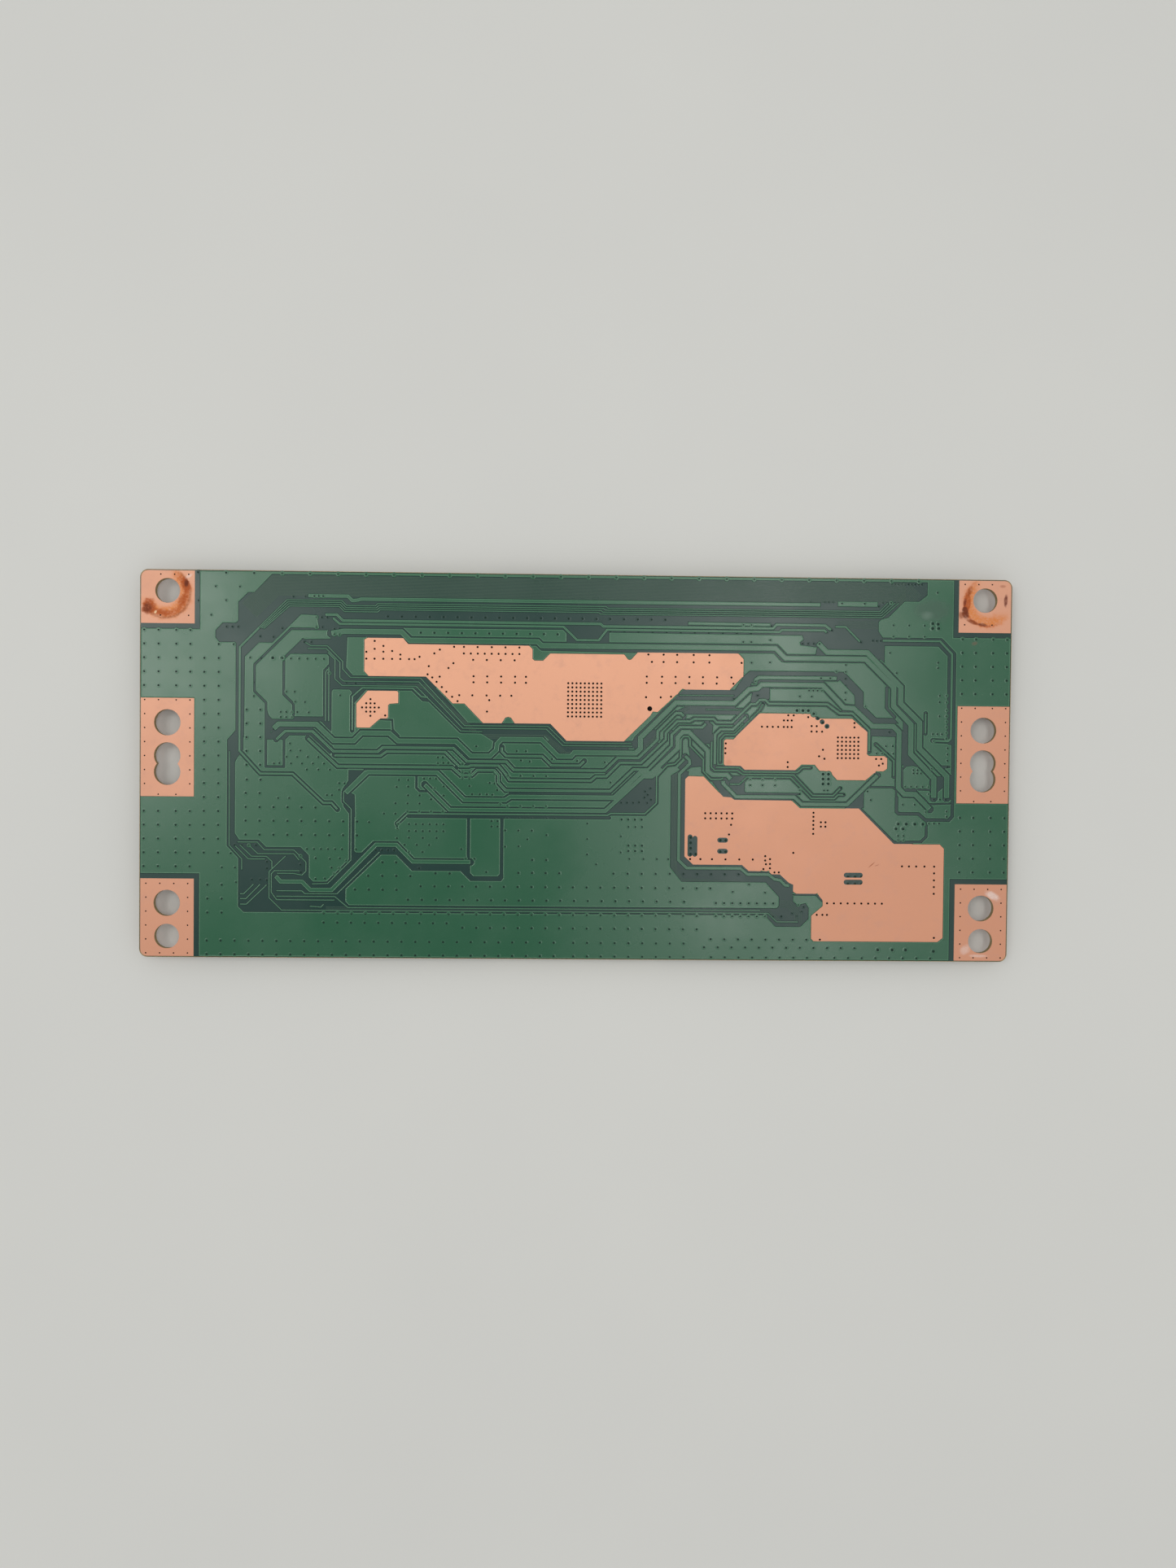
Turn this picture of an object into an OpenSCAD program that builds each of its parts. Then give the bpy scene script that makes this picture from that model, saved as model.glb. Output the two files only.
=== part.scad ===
// Timing-control board of a flat display, lying component side down.
// Its solder side, with the bare copper heat pours, faces up.

/* [Board] */
// Length of the board along X
board_w = 160; // [152:0.5:176]
// Width of the board along Y
board_h = 70.8; // [68:0.2:78]
// Thickness of the laminate
board_t = 1.0; // [0.8:0.1:1.6]
// Radius of the board's corners
corner_r = 1.5; // [0.6:0.1:2.2]

/* [Screw holes] */
// Distance of every screw hole from the short edge
hole_inset = 5; // [4.2:0.1:5.6]
// Distance of the corner holes from the long edge
corner_hole_inset = 3.85; // [3.4:0.05:4.4]
// Diameter of the corner holes
corner_hole_d = 4.5; // [3.6:0.1:5]
// Diameter of the other round holes and of both ends of a keyhole
screw_hole_d = 4.8; // [3.8:0.1:5.2]
// Height of the middle round holes above the centre line
mid_hole_y = 7.54; // [7:0.02:8.5]
// Distance between the two round holes of a lower pad
low_hole_pitch = 6.08; // [5.6:0.02:7]
// Distance between the two ends of a keyhole
keyhole_pitch = 3; // [2.4:0.1:3.4]

/* [Copper and mask] */
// Thickness of the copper foil
copper_t = 0.035; // [0.035:0.005:0.07]
// Thickness of the solder mask
mask_t = 0.025; // [0.02:0.005:0.03]
// Width of the bare screw pads
pad_w = 9.7; // [9.2:0.1:10.4]
// Height of the bare screw pads at the upper corners
top_pad_h = 9.6; // [9:0.1:10.4]
// Height of the bare screw pads at the lower corners
low_pad_h = 14.2; // [13.6:0.1:15]
// Upper edge of the middle screw pads above the centre line
mid_pad_top = 12.05; // [11.5:0.05:13]
// Lower edge of the middle screw pads below the centre line
mid_pad_bottom = 6; // [5.6:0.1:7]
// Strip between copper and the board's edge
edge_gap = 0.2; // [0.1:0.05:0.4]
// Isolating channel round the corner screw pads
pad_gap = 0.95; // [0.6:0.05:1.2]
// Diameter of the open vias in bare copper
via_d = 0.4; // [0.3:0.02:0.46]
// Pitch of the vias under the large packages
via_pitch = 0.761; // [0.7:0.001:0.8]

// Clear strip on both sides of a track
track_gap = 0.22; // [0.18:0.01:0.26]
// Half the width of the slivers that etching takes away
sliver = 0.06; // [0.05:0.005:0.08]
// Amount by which etching narrows the pours
etch_back = 0.01; // [0.005:0.005:0.02]

/* [Component side] */
// Height of the three connectors, on which the board rests
connector_h = 2.3; // [2.2:0.1:3]
// Depth of a connector, across its row of contacts
connector_d = 4.6; // [4:0.1:6]
// Pitch of the connector contacts
contact_pitch = 0.5; // [0.4:0.05:0.6]
// Number of contacts of a panel connector
panel_contacts = 60; // [40:1:64]
// Number of contacts of the input connector
input_contacts = 51; // [30:1:56]
// Distance of the connectors from the long edge
connector_inset = 1.2; // [0.6:0.1:2]
// Distance of the panel connectors from the centre line
panel_connector_x = 34; // [30:0.5:38]
// Side of the timing controller's body
timing_body = 14; // [12:0.5:16]
// Leads on each side of the timing controller
timing_leads = 25; // [16:1:26]
// Pitch of the timing controller's leads
timing_pitch = 0.5; // [0.4:0.05:0.5]
// Height of the timing controller
timing_h = 1.4; // [1.2:0.1:1.8]
// Side of the power manager's body
power_body = 7; // [6:0.5:8]
// Side of the level shifter's body
shifter_body = 5; // [4:0.5:6]
// Height of the leadless packages
leadless_h = 0.9; // [0.7:0.1:1.2]
// Side of a power inductor
inductor_body = 5.2; // [4:0.2:6]
// Height of a power inductor
inductor_h = 1.8; // [1.4:0.1:2]
// Height of the solder film under a package
solder_t = 0.08; // [0.05:0.01:0.12]

/* [Hidden] */
$fn = 48;

// Heights of the layers, from the surface that the connectors rest on
lower_z = connector_h + mask_t;
upper_z = lower_z + board_t;
mask_z = upper_z + mask_t;

// The layout was drawn between pads whose inner edges lie 70.1 from the centre, on a board 70.8 wide
pad_inner = board_w / 2 - edge_gap - pad_w;
stretch_x = pad_inner / 70.1;
stretch_y = board_h / 70.8;
function at(p) = [p[0] * stretch_x, p[1] * stretch_y];
function route(points) = [for (p = points) at(p)];

// Screw holes and keyholes on the right half, each as centre and diameter
hole_x = board_w / 2 - hole_inset;
corner_hole_y = board_h / 2 - corner_hole_inset;
round_holes = [
    [[hole_x, corner_hole_y], corner_hole_d],
    [[hole_x, mid_hole_y], screw_hole_d],
    [[hole_x, keyhole_pitch / 2], screw_hole_d],
    [[hole_x, -keyhole_pitch / 2], screw_hole_d],
    [[hole_x, low_hole_pitch - corner_hole_y], screw_hole_d],
    [[hole_x, -corner_hole_y], corner_hole_d]
];

// Bare copper heat pours
timing_pour = [
    [-39.3, 23.05], [-38.8, 23.36], [-32.2, 23.36], [-31.3, 22.3], [-9.1, 22.25], [-8.5, 21.65], [-8.5, 19.9],
    [-8.15, 19.58], [-6.6, 19.58], [-5.3, 20.9], [8.3, 20.9], [9, 20], [9.3, 19.9], [9.6, 20], [10.75, 21.25],
    [29.4, 21.25], [30.35, 20.25], [30.35, 17.15], [27.85, 14.55], [19.1, 14.55], [14.55, 10.3], [13.7, 10.4],
    [13.2, 9.6], [8.45, 4.9], [-2.15, 4.9], [-5.15, 8], [-11.75, 8], [-12.4, 9], [-12.9, 9.15], [-13.4, 9],
    [-14.05, 8], [-17.55, 8], [-20.95, 11.5], [-23.1, 11.5], [-28, 16.4], [-38.5, 16.4], [-39.3, 17.25]
];
power_pour = [
    [26.85, 5.25], [27.2, 5.5], [28.6, 5.5], [33.45, 10.35], [42.65, 10.35], [44.8, 9.5], [50.6, 9.5],
    [53.4, 7.05], [53.4, 3], [53.8, 2.68], [56.6, 2.68], [57.2, 2.25], [57.2, 0.3], [56.5, -0.2],
    [55.2, -0.2], [53.2, -1.9], [47.9, -1.9], [46.4, -0.3], [44.6, -0.2], [43.7, 0.9], [41.3, 0.9],
    [40.2, -0.1], [30.75, -0.1], [30, 0.6], [27.05, 0.65], [26.85, 0.9]
];
supply_pour = [
    [19.8, -1.95], [20.4, -1.35], [23.2, -1.4], [26.85, -5.15], [28.3, -5.25], [28.9, -5.7], [39.6, -5.75],
    [41.1, -7.1], [52, -7.1], [58.6, -13.6], [67.2, -13.6], [68, -14.4], [68, -31], [67, -31.8],
    [43.9, -31.8], [43.4, -31.3], [43.4, -27], [45.5, -25.2], [45.5, -24.1], [44.5, -22.95], [40.5, -22.95],
    [40, -22.6], [40, -21.3], [39.2, -20.95], [37.5, -19.4], [36, -19.4], [35.4, -18.85], [31.7, -18.8],
    [30.45, -17.7], [21.4, -17.7], [19.8, -16.2]
];
shifter_pour = [
    [-38.7, 13.7], [-33.2, 13.7], [-33, 13.45], [-33, 11.45], [-34.6, 11.3], [-34.85, 11.05], [-34.85, 8.85],
    [-35.1, 8.65], [-36.25, 8.65], [-38.2, 6.9], [-40.5, 6.9], [-40.7, 7.1], [-40.7, 11.35]
];

// Bare laminate under the mask, with the traces below drawn back into it
voids = [
    // Band of fine lines along the upper edge, down to the timing controller's heat pour
    [[-56.1, 34.75], [64.2, 34.75], [64.2, 32.4], [62.7, 31.2], [60, 31.2], [57, 28.2], [55.7, 27.9],
     [55.2, 27.3],
     [55.2, 25.7], [56, 24.5], [56.4, 23], [56.4, 19.85], [53.4, 22.2], [52.6, 19.85], [37.4, 19.85],
     [35.9, 21.4],
     [9.3, 21.2], [-6.9, 21.4], [-8, 22.35], [-31.3, 22.35], [-32.3, 23.45], [-42.4, 23.45], [-42.6, 17.9],
     [-41.3, 16.4], [-28, 16.4], [-27.6, 16], [-30.6, 13.8], [-39, 13.8], [-41, 11.5], [-41.6, 13.6],
     [-42, 13.9],
     [-44.9, 13.9], [-45.2, 13.5], [-45.2, 6], [-47, 8], [-46.7, 9.1], [-46.7, 17.4], [-45.7, 18.4],
     [-45.7, 20.3],
     [-52.8, 20.3], [-50.5, 22.95], [-45.4, 23.1], [-45.4, 24.6], [-47.5, 25.1], [-48, 27.4], [-50.8, 27.5],
     [-56, 22.3], [-58.4, 22.3], [-61, 19.7], [-61.1, 5], [-62.6, 6], [-62.6, 21.6], [-63.2, 22.3],
     [-65.6, 22.3],
     [-66.3, 23.1], [-66.3, 24.4], [-65, 25.8], [-62.6, 25.8], [-62.2, 26.2], [-62.2, 29.6], [-60.4, 31.4],
     [-59.3, 31.4]],
    // Left border channel and the field of fine traces at its lower end
    [[-62.6, 6.2], [-61.2, 6.2], [-61.2, 2.7], [-62.3, 1.2], [-62.7, 0.4], [-62.7, -12.6], [-61.9, -13.8],
     [-58.3, -13.8], [-57, -15.1], [-50.7, -15.1], [-49.2, -16.6], [-49.2, -20.6], [-48.4, -21.4],
     [-45.8, -21.4],
     [-41.6, -17.3], [-41.2, -15.5], [-40.6, -16], [-39.5, -16], [-37.4, -13.9], [-32.9, -13.9], [-29.9, -17],
     [-19.7, -17], [-19.7, -19.6], [-19.1, -20.2], [-14.6, -20.2], [-14.2, -19.8], [-13.6, -19.8],
     [-13.6, -20.5],
     [-14, -21], [-19.6, -21], [-21.4, -19.2], [-30.3, -19.2], [-33.2, -16.3], [-36, -16.3], [-42.5, -22.7],
     [-42.5, -25], [-41.8, -25.7], [37, -25.7], [37.4, -25.2], [37.4, -23.6], [34.9, -20.9], [19.3, -20.9],
     [17.15, -18.2], [17.15, -1.3], [18.6, -0.4], [20.4, -0.5], [19.8, -16.2], [21.4, -17.7], [30.5, -17.7],
     [31.8, -18.8], [35.5, -18.9], [36.2, -19.4], [37.6, -19.4], [39.3, -21], [40, -21.3], [40, -24.4],
     [40.9, -25.1], [42.3, -24.7], [42.9, -25.6], [42.9, -27.6], [41.4, -29.1], [36.8, -29.1], [34.8, -27],
     [-61, -27], [-62, -26], [-62, -17], [-64.1, -14.9], [-64.1, 4.5]],
    // Clearing between the middle traces and the lower field
    [[5.9, -8.2], [12.4, -8.2], [14.3, -6.3], [14.3, -1.6], [13.6, -1.8], [12, -1.8]],
    // Clearing below the timing controller's right flank
    [[11.9, 5.4], [13.5, 6.9], [14.3, 7.2], [14.3, 5.2], [12.8, 3.6], [11.9, 3.6]],
    // Clearings beside the power manager's heat pour
    [[20.3, 4.2], [23.6, 1.2], [23.6, -0.6], [22.6, 0.4], [20.8, 0.2], [19.4, -0.8], [18.4, 0.2],
     [20.6, 2.4]],
    [[21, 7.2], [24, 8.8], [24.8, 8], [24.6, 4.6], [23.4, 4.6]],
    [[27, -1.6], [28.5, -1.2], [30, -1.2], [31.2, -1.4], [30.6, -3], [30.8, -4.4], [29, -4.6], [27.2, -3]],
    [[24.2, -1.6], [26.6, -2.2], [26.6, -3.4], [28.9, -5.4], [26.8, -5.2]],
    [[28.8, 14.6], [30.4, 17.2], [31.5, 18.1], [49.3, 18.1], [49.3, 17.2], [47.9, 17.2], [33, 17.2],
     [32, 16.2],
     [31.6, 15.3], [31, 15], [28.8, 12.8], [17.6, 12.8], [19.1, 14.5]],
    [[32, 14.2], [33.5, 14.9], [35.2, 14.9], [35.2, 12.9], [33, 12.9], [30.8, 10.8], [29.2, 11.3],
     [23.2, 11.4],
     [20, 11.6], [16.9, 9.9], [18, 10], [20.6, 10], [29.8, 10], [31.6, 12]],
    [[49.3, 17.7], [52.6, 14.4], [52.6, 12], [55, 9.7], [58.3, 9.7], [59.2, 8.7], [54.4, 8.7], [51, 12],
     [51, 12.8],
     [50.9, 13.8], [47.9, 16.9]],
    // Clearings of the right half
    [[54.2, 7.6], [57.8, 7.6], [58.6, 6.8], [58.6, 6.2], [54.2, 6.3]],
    [[60, 9.6], [61, 8.2], [61, 3], [63.5, 0.6], [62, 0.9], [60.8, 0.8], [60.2, 0.2], [60, 2]],
    [[65.6, -1], [67.7, -1], [67.7, -3], [66.4, -4.2]],
    [[65.6, 0.7], [67.4, 0.4], [68.9, 0.6], [68.9, 1], [67, 1]],
    [[50, -6.2], [52.9, -4], [52.9, -7], [52.2, -7.1], [49.5, -7.1]],
    [[-42, -0.8], [-38.9, -0.8], [-42.6, -4.6], [-42.9, -7.5], [-41.4, -9.4], [-40.8, -9.4], [-40.9, -5.4],
     [-43.1, -4.4], [-42, -2.8]]
];

// Further clearings
side_voids = [
    // Band of fine lines under the timing controller's heat pour
    [[-28, 16.4], [-20.3, 8], [-5.3, 8], [-2.2, 4.95], [10, 4.95], [10.3, 5.6], [19.1, 14.5], [17.6, 12.8],
     [11, 5.6],
     [11, 3.6], [-1.2, 3.35], [-1.9, 2.6], [-3.4, 2.6], [-6.1, 5.7], [-14.6, 5.7], [-15.4, 4.6], [-17.8, 6.1],
     [-21.4, 6.1], [-27.4, 11.8], [-28.6, 11.9], [-30.6, 13.8]],
    // Clearing between the upper left islands and the long traces
    [[-57.3, 11.2], [-56.6, 9], [-56, 8.35], [-52.2, 8.35], [-51.8, 8.85], [-46.8, 8.85], [-46.6, 8],
     [-55.2, 8],
     [-56.3, 7], [-56.2, 5.8], [-54.9, 6.8], [-48.6, 6.8], [-44.9, 3.4], [-45.4, 2], [-49, 5.4], [-52.8, 5.4],
     [-53.6, 4.6], [-57.3, 4.6]]
];

// Isolating channels, each as width and centre line
channels = [
    [0.4, [[-45.5, 24.85], [-52.6, 24.85], [-59.2, 18.25], [-59.2, 13.4], [-57.1, 11.3], [-57.1, -0.35],
           [-53.8, -0.35], [-53.8, 5]]],
    [0.45, [[-50.4, 22.9], [-53.9, 19.4], [-53.9, 12.9], [-52.1, 11.1], [-52.1, 8.4]]],
    [0.25, [[-36.4, 8.5], [-34.1, 8.4], [-34, 6.6], [-32.9, 5.5]]],
    [0.5, [[-31, -9.25], [5.9, -9.25]]],
    [0.3, [[-33.1, -10.6], [-33.1, -11.4]]],
    [0.35, [[-29.6, -1.8], [-29.6, -4], [-29, -4.6], [-27.3, -4.6]]],
    [0.5, [[-20, -9.4], [-20, -17.2]]],
    [0.55, [[-13.9, -9.4], [-13.9, -20.4]]],
    [0.6, [[-41.2, -9], [-41.2, -16]]],
    [1.5, [[56, 23.75], [66.7, 23.75], [68.9, 21.5], [68.9, 5.6]]],
    [0.6, [[69.4, 21.5], [69.4, -8.4], [68.8, -9.1], [64.4, -9.1], [63.1, -8], [59.4, -8], [59, -7.6],
           [59, -5]]],
    [0.3, [[64, -5], [65, -6.2], [69, -6]]],
    [0.35, [[60, 0.4], [60, -3.4], [65.2, -3.5], [65.2, -2]]],
    [0.35, [[53, -3.1], [58.3, -3.1], [58.9, -3.6], [58.9, -5]]],
    [0.5, [[52, -6.9], [58.6, -13.3], [63.6, -13.2], [64.6, -12.2], [64.6, -9.2]]],
    [0.35, [[30.6, -1.6], [30.6, -4.2], [31, -4.5], [41, -4.5]]],
    [0.3, [[40.2, -23.15], [44.3, -23.15], [45.4, -24.3]]],
    [0.6, [[56.9, 15.2], [56.9, 11.6], [58.4, 9.9]]]
];

// Copper drawn back into the clearings: islands first
islands = [
    [[-30.5, 23.65], [-32.3, 25.25], [-2.9, 25.25], [-2.3, 24.6], [-2.3, 22.95], [-6.6, 22.95],
     [-7.3, 23.65]],
    [[5.5, 22.95], [5.5, 24.85], [41.1, 24.75], [41.4, 24], [40.7, 23.4], [40.9, 22.95], [43.9, 22.6],
     [43.6, 21.25],
     [38.4, 21.15], [36.6, 22.95]],
    [[-56.6, 0.1], [-56.6, 3.8], [-56.2, 4.2], [-54.6, 4.2], [-54.1, 3.7], [-54.1, 0.1]],
    [[-40.2, 3.2], [-40.2, 4.2], [-39.5, 5], [-35, 5], [-34.4, 4.4], [-35.4, 3.9], [-36.2, 3.9], [-37, 3.2]],
    [[-23.1, 11.5], [-20.9, 11.5], [-17.4, 8.1], [-20.2, 8.1], [-22.2, 10.2]]
];

// Thin parallel lines between the upper light strip and the lower ones
fan_pitch = 0.37;
fan_lines = [
    for (k = [0 : 3])
        let (drop = k * fan_pitch, lean = drop * tan(22.5))
        [0.2, [
            [-58.5 + 2 * lean, 25 - drop + 2 * lean], [-53.4 + lean, 30.1 - drop],
            [-43.4 - lean, 30.1 - drop],
            [-42.5 - lean, 29.2 - drop], [-37.3 + lean, 29.2 - drop], [-36.9 + lean, 29.6 - drop],
            [4.9 - 3 * lean, 29.6 - drop], [5.2 - 3 * lean, 29.3 - drop], [55.4 + lean, 29.3 - drop],
            [56.9 + 1.8 * drop, 30.9]
        ]]
];

// Copper lines, each as width and centre line
tracks = [
    // Strips and pairs of the upper band
    [0.65, [[-49.5, 30.9], [-42.3, 30.9], [-41.5, 30.1], [-40.6, 30.2], [-39.9, 30.4], [44.4, 30.4]]],
    [0.9, [[47.6, 30.6], [55, 30.6]]],
    [0.5, [[-46.4, 27.5], [-44.3, 27.5], [-43.2, 26.45], [3.9, 26.4], [4.4, 25.95], [35.7, 25.95],
           [36.3, 26.65],
           [45.3, 26.6], [46.4, 25.8]]],
    [0.42, [[-45, 26.9], [-43.8, 25.85], [-2.9, 25.8], [-0.4, 23.4], [3.6, 23.4], [5.1, 25.35], [36.9, 25.3],
            [37.3, 25.7], [45.2, 25.7], [45.6, 25.3]]],
    [0.55, [[20, 26.7], [35.2, 26.6]]],
    [0.35, [[47.2, 26.4], [49.1, 26.4], [51.8, 23.7]]],
    [1.0, [[-45.3, 24.1], [-43, 24.5], [-32.5, 24.5], [-31, 23], [-7.6, 23], [-6.9, 22.3], [36.2, 22.3],
           [38, 20.5],
           [52.9, 20.5], [58.2, 15.3], [58.2, 11.9], [61.5, 8.5], [61.5, 3.1], [65.9, -1.4], [65.9, -5]]],
    [1.0, [[44, 23.4], [45.7, 21.7], [53.2, 21.7], [59.5, 15.4], [59.5, 12.4], [63.1, 8.9], [63.1, 4.1],
           [68.3, -1],
           [68.3, -5]]],
    [0.4, [[-58.4, 25], [-61.9, 21.4], [-61.9, 2.5], [-58.1, -1.65], [-52.2, -1.65], [-46.6, -6.9],
           [-45.1, -6.9],
           [-44, -8.1]]],
    [0.4, [[56, 23.95], [66.7, 23.95], [68.95, 21.6], [68.95, 6], [68.4, 5.5], [65.6, 5.6]]],
    // Long power and signal traces across the middle
    [0.95, [[-55.7, 6.6], [-54.8, 7.45], [-47.9, 7.45], [-44.8, 4.5], [-41.1, 4.5], [-39.7, 5.95],
            [-34.6, 5.95],
            [-33, 4.55], [-22.4, 4.55], [-19.7, 1.95], [-16.2, 1.95], [-15, 3.1], [-14.9, 4.2], [-14.1, 5.05],
            [-6.7, 5.05], [-3.7, 2.05], [-1.3, 2.05], [-0.7, 2.75], [10.6, 2.75], [11.45, 3.6], [11.45, 5.6],
            [17.9, 12.1], [28.7, 12.1], [31.4, 14.7], [33, 14.9], [33.7, 15.6], [45, 15.6], [49, 11.5],
            [50.8, 11.4],
            [54.3, 8.15], [58.2, 8.15], [59.3, 7.1], [59.3, -3.2], [60.4, -4.35], [62.5, -4.4],
            [65.2, -7.1]]],
    [0.5, [[-55.2, 4.6], [-53.6, 6.15], [-48.6, 6.15], [-44.8, 2.55], [-36.7, 2.55], [-35.8, 3.35],
           [-22.9, 3.35],
           [-20.4, 0.95], [-13.2, 0.95], [-11.8, -0.55], [4.9, -0.55], [7.3, 1.85], [11.1, 1.85], [14.6, 5.3],
           [14.6, 6.8], [18, 10.2], [18.9, 10.15], [19.4, 9.6]]],
    [0.45, [[-44.6, 1.8], [-36.2, 1.8], [-35.1, 2.6], [-24.4, 2.6], [-21.8, 0], [-20.1, 0], [-19.7, 0.2],
            [-14.6, 0.2], [-13.4, -1.2], [-12.6, -2.4], [2.4, -2.4], [3.3, -1.6], [5.2, -1.6], [7.7, 0.95],
            [11.6, 0.95], [16.1, 5.3], [16.1, 6.5], [18.2, 8.7], [20.6, 8.7], [21.3, 9.15], [24.9, 9.15],
            [25.5, 8.55], [28.3, 8.55], [31.8, 12], [32.7, 12], [33.4, 12.8], [34.4, 12.8], [35.1, 12.1],
            [45.9, 12.1], [48.2, 10.45], [50.6, 10.45], [53.75, 7.4], [53.75, 3.5]]],
    [0.5, [[-49.5, 4.9], [-44, -0.2], [-23.1, -0.2], [-21.5, -1.6], [-19.5, -1.6], [-18.5, -0.65],
           [-15.4, -0.65],
           [-14.6, -1.5], [-14.6, -2.9], [-13.3, -4.3], [6, -4.3], [10.2, -0.25], [12.9, -0.25], [17.2, 4.2],
           [17.2, 6.2], [18.7, 7.6], [22.8, 7.6], [23.5, 8.3]]],
    [0.85, [[-42.5, -5.1], [-38.5, -1.2], [-25.8, -1.2], [-20.9, -6.1], [-13.3, -6.1], [-12.4, -5.5],
            [6.7, -5.5],
            [11.4, -0.9], [13.5, -0.9], [18.3, 3.7], [18.3, 5.7], [19.2, 6.7], [20.4, 6.7], [23.9, 3.3],
            [23.9, -0.4], [24.8, -1.1], [27.5, -1.1], [28.2, -1.9]]],
    [0.75, [[-28.1, -3.4], [-23.5, -7.95], [5.1, -7.95], [12, -1.55], [13.6, -1.55], [15.4, 0]]],
    [0.3, [[-33.1, -10.6], [-31.2, -8.75], [5.5, -8.75], [6.1, -8.4], [12.4, -8.4], [14.5, -6.4],
           [14.5, -1.5],
           [16.4, 0.6], [17.8, 0.8], [18.9, 1.9], [18.9, 5.3], [19.4, 5.9], [20.3, 5.9], [20.6, 5.4],
           [20.6, 4.2],
           [23.1, 1.7], [23.1, -0.5], [24.5, -1.95], [26.3, -1.95], [26.8, -1.7]]],
    [0.45, [[-14, 3.6], [-14, 2.8], [-13.2, 2], [-6.6, 2], [-4.9, 0.35], [0.3, 0.35], [1.15, 1.2]]],
    [0.55, [[19.7, 2.3], [20.5, 1.6], [20.6, 0.9], [18.7, -1], [18.7, -16.9], [20.2, -18.35], [30.2, -18.35],
            [31.5, -19.45], [35.4, -19.45], [36.5, -20.3], [37.6, -20.5], [38.5, -21.4], [39.3, -21.5]]],
    [0.5, [[25.2, 0.8], [25.2, 6.3], [26.2, 7.3], [28.5, 7.3], [30.9, 9.7]]],
    [0.3, [[26.2, 1.3], [26.2, 5.5], [27, 6.3], [28.9, 6.3], [33.4, 10.9], [34, 12]]],
    [0.3, [[25.4, 0.3], [29.7, 0.25], [30.6, -0.5], [40.5, -0.5], [41.5, 0.4], [42.9, 0.4]]],
    [0.3, [[24.6, 5], [24.6, 0.3], [25.2, -0.3], [29.4, -0.3], [30.4, -1], [39.8, -1], [43.4, -4.75],
           [47.2, -4.75],
           [48.5, -3.4]]],
    [0.3, [[28, -2.8], [29.8, -2.8], [31.2, -1.45], [39.3, -1.45], [43.2, -5.3], [47.4, -5.3], [48.1, -4.6],
           [49.1, -4.6]]],
    [0.7, [[26.8, -2.2], [26.8, -2.7], [29.2, -5.1], [40, -5.1], [41.4, -6.4], [49.8, -6.4], [55.4, -0.9]]],
    [0.7, [[32.4, 16.3], [33.2, 16.9], [45.2, 16.9], [47.6, 16.9]]],
    [0.3, [[55, 4.8], [58.4, 1.8], [58.4, -1.1]]],
    [0.3, [[64.2, 10.6], [64.2, 6.9]]],
    // Fine traces in the lower left field
    [0.8, [[-55.2, -20.4], [-54.3, -21.4], [-50.4, -21.4], [-48.9, -22.9], [-45, -22.9], [-36.9, -14.5],
           [-33.2, -14.5], [-30.2, -17.55], [-19.6, -17.55]]],
    [0.22, [[-38.9, -0.85], [-42.9, -4.9], [-42.9, -6.6], [-41.5, -8], [-41.5, -17.4], [-45.7, -21.7],
            [-48.6, -21.8]]],
    [0.22, [[-55.1, -23.1], [-50.4, -23.1], [-49.9, -23.6], [-44, -23.6], [-36.2, -15.8]]],
    [0.22, [[-55.1, -24.1], [-44.4, -24.1], [-42, -26.1], [34, -26.1]]],
    [0.22, [[-50.8, -19.4], [-55.4, -19.4], [-56, -20], [-56, -23.4], [-55, -24.75], [-44.4, -24.75]]],
    [0.22, [[-53.4, -16.7], [-56.4, -19.6], [-56.4, -24.4], [-54.1, -26.65], [35.4, -26.65], [37, -28.2],
            [41, -28.2]]],
    [0.22, [[-61.4, -19.3], [-61.4, -17.3], [-63.7, -14.8], [-63.7, 2.4]]],
    [0.22, [[-62.6, -14.9], [-60.2, -17.3], [-57.1, -17.3]]],
    [0.22, [[-61.8, -14.7], [-59.6, -16.8], [-56.9, -16.8], [-55.9, -17.7], [-55.9, -19.1]]],
    [0.22, [[-60.2, -14.7], [-58.5, -16.3], [-51.9, -16.3], [-50.9, -17.5]]],
    [0.22, [[-62.2, -14.2], [-58.6, -14.2], [-57.3, -15.6], [-51.9, -15.6], [-49.7, -17.8], [-49.7, -19.5],
            [-50.4, -20.2], [-52, -19.9], [-55, -19.9]]],
    [0.22, [[-59.2, -21.9], [-61, -23.7], [-61.7, -23.7]]],
    [0.22, [[-58, -21.9], [-60.6, -24.6], [-61.7, -24.6]]],
    [0.22, [[-56.8, -22], [-60.5, -25.6], [-61.7, -25.6]]],
    [0.22, [[-49, -25.9], [-46.9, -26.05], [-46.4, -25.5]]],
    // Fine traces round the timing controller's left flank
    [0.22, [[-50, 22.4], [-49, 21.8], [-46, 21.8], [-43.2, 19], [-43.2, 17.6], [-41.8, 16.1], [-29, 16.1],
            [-20.9, 7.5], [-5.6, 7.5], [-2.5, 4.5], [9.8, 4.5]]],
    [0.22, [[-49.6, 21.3], [-46.2, 21.3], [-43.7, 18.8], [-43.7, 16], [-43, 15.4], [-29.3, 15.4], [-21.2, 7],
            [-5.9, 7], [-2.8, 4], [10, 4]]],
    [0.22, [[-45.9, 20.6], [-44.6, 19.3], [-44.6, 15.8], [-43.3, 14.6], [-41.5, 14.6], [-29.8, 14.6],
            [-21.6, 6.5],
            [-17.6, 6.4]]],
    [0.3, [[-41.4, 6.4], [-41.4, 12.6], [-39.6, 14.2], [-30.4, 14.2], [-28.8, 12.7], [-27.6, 12.6]]],
    [0.22, [[-46.3, 8], [-46.3, 17], [-45.9, 17.6]]],
    [0.22, [[-45.7, 8], [-45.7, 18]]],
    [0.22, [[18.5, 13.5], [28.6, 13.5]]],
    [0.22, [[23.4, 10.9], [30.2, 10.9]]]
];

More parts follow.
